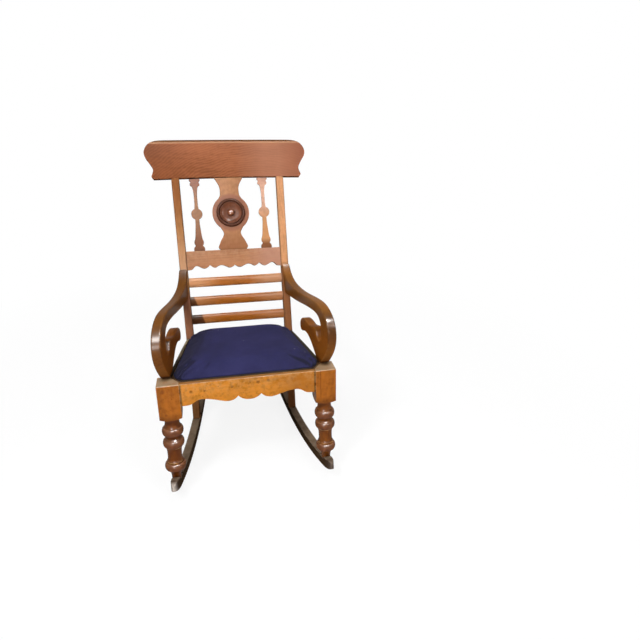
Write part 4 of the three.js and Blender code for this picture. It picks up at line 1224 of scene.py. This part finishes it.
section = bmesh.new()
rim = [(crest_thickness, 0), (crest_thickness, crest_height - rear_arris)]
for t in shares_of(16):
    swing = t * math.pi / 2
    rim.append((
        (crest_thickness - rear_arris) * (1 - math.sin(swing)),
        crest_height - crest_roll * (1 - math.cos(swing)),
    ))
rim += [(-0.6, 100), (-1, 66.6), (-0.7, 33), (0, 0)]
corners = [section.verts.new((0, y, z)) for y, z in rim]
section.faces.new(corners)
softened(section, [corners[-1], corners[0]], 2, affect="VERTICES")
reach = crest_half_width + 4
stations = []
for t in shares_of(64):
    x = blend_of(-reach, reach, t)
    stations.append(Matrix.Translation((x, crest_offset(x), crest_line(x))))
tablet = run_along(section, stations)

# %% Crest rail
end_shares = [
    (0.905, -0.03), (0.917, 0.02), (0.932, 0.066), (0.92, 0.135), (0.909, 0.205), (0.912, 0.272),
    (0.934, 0.364), (0.96, 0.455), (0.988, 0.549), (1, 0.662), (0.99, 0.75), (0.965, 0.84),
    (0.92, 0.92), (0.85, 0.972), (0.76, 0.995),
]
marks = [(x * crest_half_width, crest_line(x * crest_half_width) + z * crest_height) for x, z in end_shares]
half = drawn(marks, 5)
outline = half + [(0, crest_line(0) + crest_height + 8)] + flipped(half)
crest = carved(tablet, sawn(outline, "y", -60, 160), "INTERSECT")
bmesh.ops.remove_doubles(crest, verts=crest.verts, dist=0.05)
crest.transform(back)
fitted("crest_tablet", crest, crest_finish, "crest_rail", sharp=38)

# %% [markdown]
# ## Scroll arms
# An arm is one closed outline: from the post over the armrest, round the nose, under it and back through
# the inward curl. It is sawn from a thick board and its edges are rounded over by hand, so the bevel is
# wide. The board then leans outward to the front in plan, which is a shear, and its rear end is cut to
# the raked face of the post with a bisecting plane.

# %% Arms
outer_shares = [
    (1.06, 1.15), (1.01, 1.03), (0.965, 0.925), (0.92, 0.853), (0.84, 0.79), (0.73, 0.765), (0.61, 0.765),
    (0.49, 0.782), (0.37, 0.808), (0.27, 0.823), (0.19, 0.82), (0.116, 0.784), (0.056, 0.716),
    (0.016, 0.62), (0, 0.51), (0.004, 0.4), (0.026, 0.292), (0.06, 0.19), (0.1, 0.1), (0.132, 0.035),
    (0.165, 0),
]
inner_shares = [
    (0.22, 0), (0.243, 0.045), (0.274, 0.095), (0.307, 0.142), (0.345, 0.188), (0.39, 0.228),
    (0.44, 0.245), (0.49, 0.236), (0.532, 0.21), (0.556, 0.222), (0.57, 0.27), (0.566, 0.34),
    (0.538, 0.4), (0.488, 0.427), (0.43, 0.424), (0.372, 0.41), (0.32, 0.43), (0.27, 0.446),
    (0.237, 0.41), (0.213, 0.342), (0.178, 0.314), (0.147, 0.345), (0.134, 0.42), (0.134, 0.51),
    (0.15, 0.59), (0.188, 0.645), (0.245, 0.668), (0.33, 0.664), (0.43, 0.647), (0.55, 0.617),
    (0.67, 0.59), (0.79, 0.572), (0.89, 0.562), (1.0, 0.556),
]
arm_top = 255


def arm_point(share):
    return (blend_of(arm_nose_y, arm_joint_y, share[0]), joint_gap + share[1] * arm_top)


outline = drawn([arm_point(s) for s in outer_shares], 5) + drawn([arm_point(s) for s in inner_shares], 4)
arm = sawn(outline, "x", -arm_thickness / 2, arm_thickness, soften=5, segments=5)
for vert in arm.verts:
    vert.co.x += arm_front_x - arm_slope * (vert.co.y - half_block)
post_face = back @ Vector((0, 0, 0))
post_normal = back.to_3x3() @ Vector((0, 1, 0))
bmesh.ops.bisect_plane(
    arm, geom=arm.verts[:] + arm.edges[:] + arm.faces[:], plane_co=post_face, plane_no=post_normal,
    clear_outer=True
)
bmesh.ops.holes_fill(arm, edges=[e for e in arm.edges if e.is_boundary])
print("arm outline", len(outline), "points, open edges left", sum(e.is_boundary for e in arm.edges))
fitted_pair("scroll_arm", arm, "arm", arm_finish, warm_arm_finish)

# %% [markdown]
# ## Woven seat cover
# The cover is a plain woven furnishing cloth, navy with a violet cast. Two sets of threads cross, so the
# weave is the product of two fine waves. Single threads differ in shade, the nap catches light as a soft
# sheen, and there are a few pale specks of lint. The flanks, and what leans to the viewer's left, are
# darkened as painted shade. Coarser and without lint, it makes the hessian below.


# %% Cloth finish
def cloth(name, deep, mid, bright, thread=1.3, lint=0.8):
    material, tree, shader = new_finish(name)
    spot = add_node(tree, "TexCoord").outputs["Object"]
    sockets = {"Vector": spot, "Scale": one_wave / (thread * mm), "Distortion": 0.6, "Detail": 1}
    waves = []
    for direction in ("X", "Y"):
        wave = add_node(
            tree, "TexWave", {**sockets, "Detail Scale": 0.4},
            wave_type="BANDS", bands_direction=direction, wave_profile="SIN",
        )
        waves.append(wave.outputs["Fac"])
    weave = calc(tree, "MULTIPLY", *waves)
    fuzz = noise(tree, spot, 420, 4)
    tone = calc(tree, "MULTIPLY_ADD", weave, 0.3, calc(tree, "MULTIPLY", fuzz, 0.5))
    tone = calc(tree, "MULTIPLY_ADD", noise(tree, spot, 9, 3), 0.6, tone)
    stops = [(0.0, paint(deep)), (0.5, paint(mid)), (1.0, paint(bright))]
    colour = ramp(tree, spread(tree, tone, 0.3, 0.95), stops)
    speck = add_node(tree, "TexVoronoi", {"Vector": spot, "Scale": 60}).outputs
    near = spread(tree, speck["Distance"], 0.1, 0.05, 0, lint)
    chosen = add_node(tree, "SeparateColor", {0: speck["Color"]}).outputs[0]
    rare = spread(tree, chosen, 0.965, 0.975)
    colour = mixed(tree, calc(tree, "MULTIPLY", near, rare), colour, paint("B9B4C4"))
    # Painted shade: the flanks, and faces that lean to the viewer's left, are darkened.
    painted_flank_shade = spread(tree, calc(tree, "ABSOLUTE", looks(tree)[0]), 0.2, 0.6, 0, 0.75)
    painted_flank_shade = calc(tree, "MAXIMUM", painted_flank_shade, spread(tree, looks(tree)[0], -0.05, -0.22, 0, 0.8))
    colour = mixed(tree, painted_flank_shade, colour, darker(paint(deep), 0.4))
    tree.links.new(colour, shader.inputs["Base Color"])
    set_values(shader, {
        "Roughness": 0.92, "Specular IOR Level": 0.03, "Sheen Weight": 0.1, "Sheen Roughness": 0.45,
        "Sheen Tint": paint("8C86D8"),
    })
    roughened(tree, shader, calc(tree, "MULTIPLY_ADD", fuzz, 0.6, weave), 0.5, 0.0004)
    return material


seat_finish = cloth("navy_cloth", "141338", "1E1D4A", "2D2C5E")
base_finish = cloth("hessian", "342A22", "43372C", "56483A", thread=2.2, lint=0.0)

# %% [markdown]
# ## The stuffed seat
# The seat is a padded panel that drops between the arms. Stuffing pushes the cover up into a crown, and
# the cover is drawn down and tacked under the frame, which keeps the lower edge still. A copy of the
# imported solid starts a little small, is remeshed finely and blown up by a cloth simulation without
# gravity. The lowest ring is pinned, and no point may travel further than a set distance.


# %% Blow up the cushion
def evaluated_mesh(piece):
    depsgraph = bpy.context.evaluated_depsgraph_get()
    return bpy.data.meshes.new_from_object(piece.evaluated_get(depsgraph))


pad_voxel, pad_shrink, pad_flat, pad_cap, pad_clearance = 5 * mm, 0.992, 0.93, 8 * mm, 0.8
source = bmesh.new()
source.from_mesh(frame["nodes"]["seat_cushion"].data)
bmesh.ops.remove_doubles(source, verts=source.verts, dist=same_point * mm)
source.transform(place.inverted())
low_z = min(v.co.z for v in source.verts)
middle_y = sum(v.co.y for v in source.verts) / len(source.verts)
for vert in source.verts:
    vert.co.x *= pad_shrink
    vert.co.y = middle_y + (vert.co.y - middle_y) * pad_shrink
    vert.co.z = low_z + (vert.co.z - low_z) * pad_flat
source.transform(place)
pad_mesh = bpy.data.meshes.new("stuffed_seat")
source.to_mesh(pad_mesh)
source.free()
pad = linked("stuffed_seat", pad_mesh)
remesh = pad.modifiers.new("fine", "REMESH")
remesh.mode = "VOXEL"
remesh.voxel_size = pad_voxel
smooth = pad.modifiers.new("even", "SMOOTH")
smooth.iterations = 6
pad.data = evaluated_mesh(pad)
pad.modifiers.clear()
start = [v.co.copy() for v in pad.data.vertices]
to_bench, tacked_height = place.inverted(), 3
pinned = [v.index for v in pad.data.vertices if (to_bench @ v.co).z < low_z + tacked_height]
print("cushion", len(start), "points,", len(pinned), "pinned")

# %% Run the simulation
hold = pad.vertex_groups.new(name="tacked")
hold.add(pinned, 1, "REPLACE")
sim = pad.modifiers.new("cover", "CLOTH")
sim.settings.quality = 6
sim.settings.mass = 0.4
sim.settings.use_pressure = True
sim.settings.uniform_pressure_force = 4
sim.settings.effector_weights.gravity = 0
sim.settings.vertex_group_mass = "tacked"
scene = bpy.context.scene
for step in range(1, 21):
    scene.frame_set(step)
blown = evaluated_mesh(pad)
pad.modifiers.clear()
scene.frame_set(1)
travel = 0
for vert, first in zip(blown.vertices, start):
    step = vert.co - first
    if step.length > pad_cap:
        step = step.normalized() * pad_cap
    travel = max(travel, step.length)
    vert.co = first + step
pad.data = blown
pad.vertex_groups.clear()
print("furthest point moved", round(travel / mm, 1), "mm")

# %% [markdown]
# The blown shape may not lean on its neighbours, so its plan is trimmed to the room between the arms, the
# leg blocks and the front rail. A light smoothing takes the sharpest pull marks out of the corners.


# %% Room for the cushion
def trimmed(mesh):
    shape = bmesh.new()
    shape.from_mesh(mesh)
    bmesh.ops.smooth_vert(
        shape, verts=shape.verts, factor=0.5, use_axis_x=True, use_axis_y=True, use_axis_z=True
    )
    shape.transform(to_bench)
    for vert in shape.verts:
        y = max(vert.co.y, seat_front + pad_clearance)
        past_corner = (y - seat_front) / (block_clear - seat_front)
        beside_block = blend_of(block_inner_x, seat_edge(block_clear), past_corner)
        widest = min(seat_edge(y), beside_block) - pad_clearance
        vert.co = (min(widest, max(-widest, vert.co.x)), y, vert.co.z)
    shape.transform(place)
    shape.to_mesh(mesh)
    shape.free()


trimmed(pad.data)
print("cushion's half width", round(max(abs((to_bench @ v.co).x) for v in pad.data.vertices), 1))

# %% [markdown]
# The cushion then gets one subdivision, its cloth and its place on the seat's body, so that it lifts
# out with the frame it is tacked to.

# %% Finish the cushion
pad.data.name = "stuffed_seat"
pad.data.shade_smooth()
pad.data.materials.clear()
pad.data.materials.append(seat_finish)
finer = pad.modifiers.new("finer", "SUBSURF")
finer.levels = finer.render_levels = 1
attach(pad, "drop_in_seat")
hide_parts("seat_cushion")
print("cushion", len(pad.data.polygons), "faces before the subdivision")

# %% [markdown]
# ## What stays as it came
# The seat's frame bars, the panel of webbing and the glued corner blocks have the right shape already.
# They only need bare, unvarnished wood and hessian.

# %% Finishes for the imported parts
for name, part in frame["nodes"].items():
    if part.hide_render:
        continue
    part.data.materials.clear()
    part.data.materials.append(base_finish if name == "seat_base" else hidden_finish)
    print("kept", name)

# %% [markdown]
# ## Room and light
# A pale floor and white surroundings, as in a shop's product picture. What the camera and the reflections
# see is white, and what lights the chair is plainer, so colours stay as they are written.


# %% Floor and world
floor_mesh = bpy.data.meshes.new("floor")
floor_bm = bmesh.new()
bmesh.ops.create_grid(floor_bm, x_segments=1, y_segments=1, size=30)
floor_bm.to_mesh(floor_mesh)
floor_bm.free()
floor = linked("floor", floor_mesh)


def seen_directly(tree):
    path = add_node(tree, "LightPath").outputs
    direct = calc(tree, "MAXIMUM", path["Is Camera Ray"], path["Is Glossy Ray"])
    return calc(tree, "MAXIMUM", direct, path["Is Transmission Ray"])


def shown_as(tree, share, plain, bright, output):
    blend = add_node(tree, "MixShader", {0: share, 1: plain.outputs[0], 2: bright.outputs[0]})
    tree.links.new(blend.outputs[0], tree.nodes[output].inputs["Surface"])


floor_finish, tree, matte = new_finish("pale_floor")
set_values(matte, {"Roughness": 0.9})
direct = seen_directly(tree)
shown = mixed(tree, direct, (0.35, 0.35, 0.35, 1), (0.96, 0.96, 0.96, 1))
tree.links.new(shown, matte.inputs["Base Color"])
glow = add_node(tree, "Emission", {"Color": (1, 1, 1, 1), "Strength": 1.0})
spot = add_node(tree, "TexCoord").outputs["Object"]
away = spread(tree, distance(tree, spot, (0, 0, 0)), 0.5, 1.8, 0.86, 1.0)
shown_as(tree, calc(tree, "MULTIPLY", direct, away), matte, glow, "Material Output")
floor_mesh.materials.append(floor_finish)

world = bpy.data.worlds.new("studio")
bpy.context.scene.world = world
world.use_nodes = True
tree = world.node_tree
ambient = tree.nodes["Background"]
set_values(ambient, {"Color": (1, 1, 1, 1), "Strength": 0.1})
white = add_node(tree, "Background", {"Color": (1, 1, 1, 1), "Strength": 1.0})
shown_as(tree, seen_directly(tree), ambient, white, "World Output")
print("floor and surroundings ready")

# %% [markdown]
# Nine soft square lamps look at the seat. Five light the chair: the key from the front left and above,
# fills in front, above and at the right, and one behind. Front, top and rear lamp aren't mirrored in the
# varnish. Four more do the opposite: they shine in the varnish only and add no light to the colours.
# They stand where a bright room would be mirrored along the arms, on the slats and on the leg's rings.


# %% Lamps
aim = Vector((0, 0, 0.55))


def lamp(name, spot, side, power, gloss=True, matte=True):
    data = bpy.data.lights.new(name, "AREA")
    data.size = side
    data.energy = power
    light = linked(name, data)
    light.location = spot
    light.visible_glossy = gloss
    light.visible_diffuse = matte
    light.rotation_euler = (aim - Vector(spot)).to_track_quat("-Z", "Y").to_euler()


lamp("key_lamp", (-1.14, -1.67, 2.83), 0.45, 58)
lamp("front_lamp", (-0.52, -2.07, 2.24), 0.6, 14, gloss=False)
lamp("top_lamp", (0.53, -1.19, 2.86), 0.5, 14, gloss=False)
lamp("right_lamp", (2.4, -1.5, 1.6), 1.0, 12)
lamp("rear_lamp", (0.6, 2.6, 1.6), 1.4, 22, gloss=False)
lamp("arm_shine", (-0.63, -2.88, 3.66), 1.5, 1400, matte=False)
lamp("slat_shine", (0.4, -1.0, 2.84), 0.5, 650, matte=False)
lamp("right_shine", (1.55, -2.16, 2.6), 1.0, 400, matte=False)
lamp("ring_shine", (-0.65, -2.54, 1.1), 0.5, 110, matte=False)
bpy.context.scene.view_settings.view_transform = "Standard"
print(len(bpy.data.lights), "lamps")
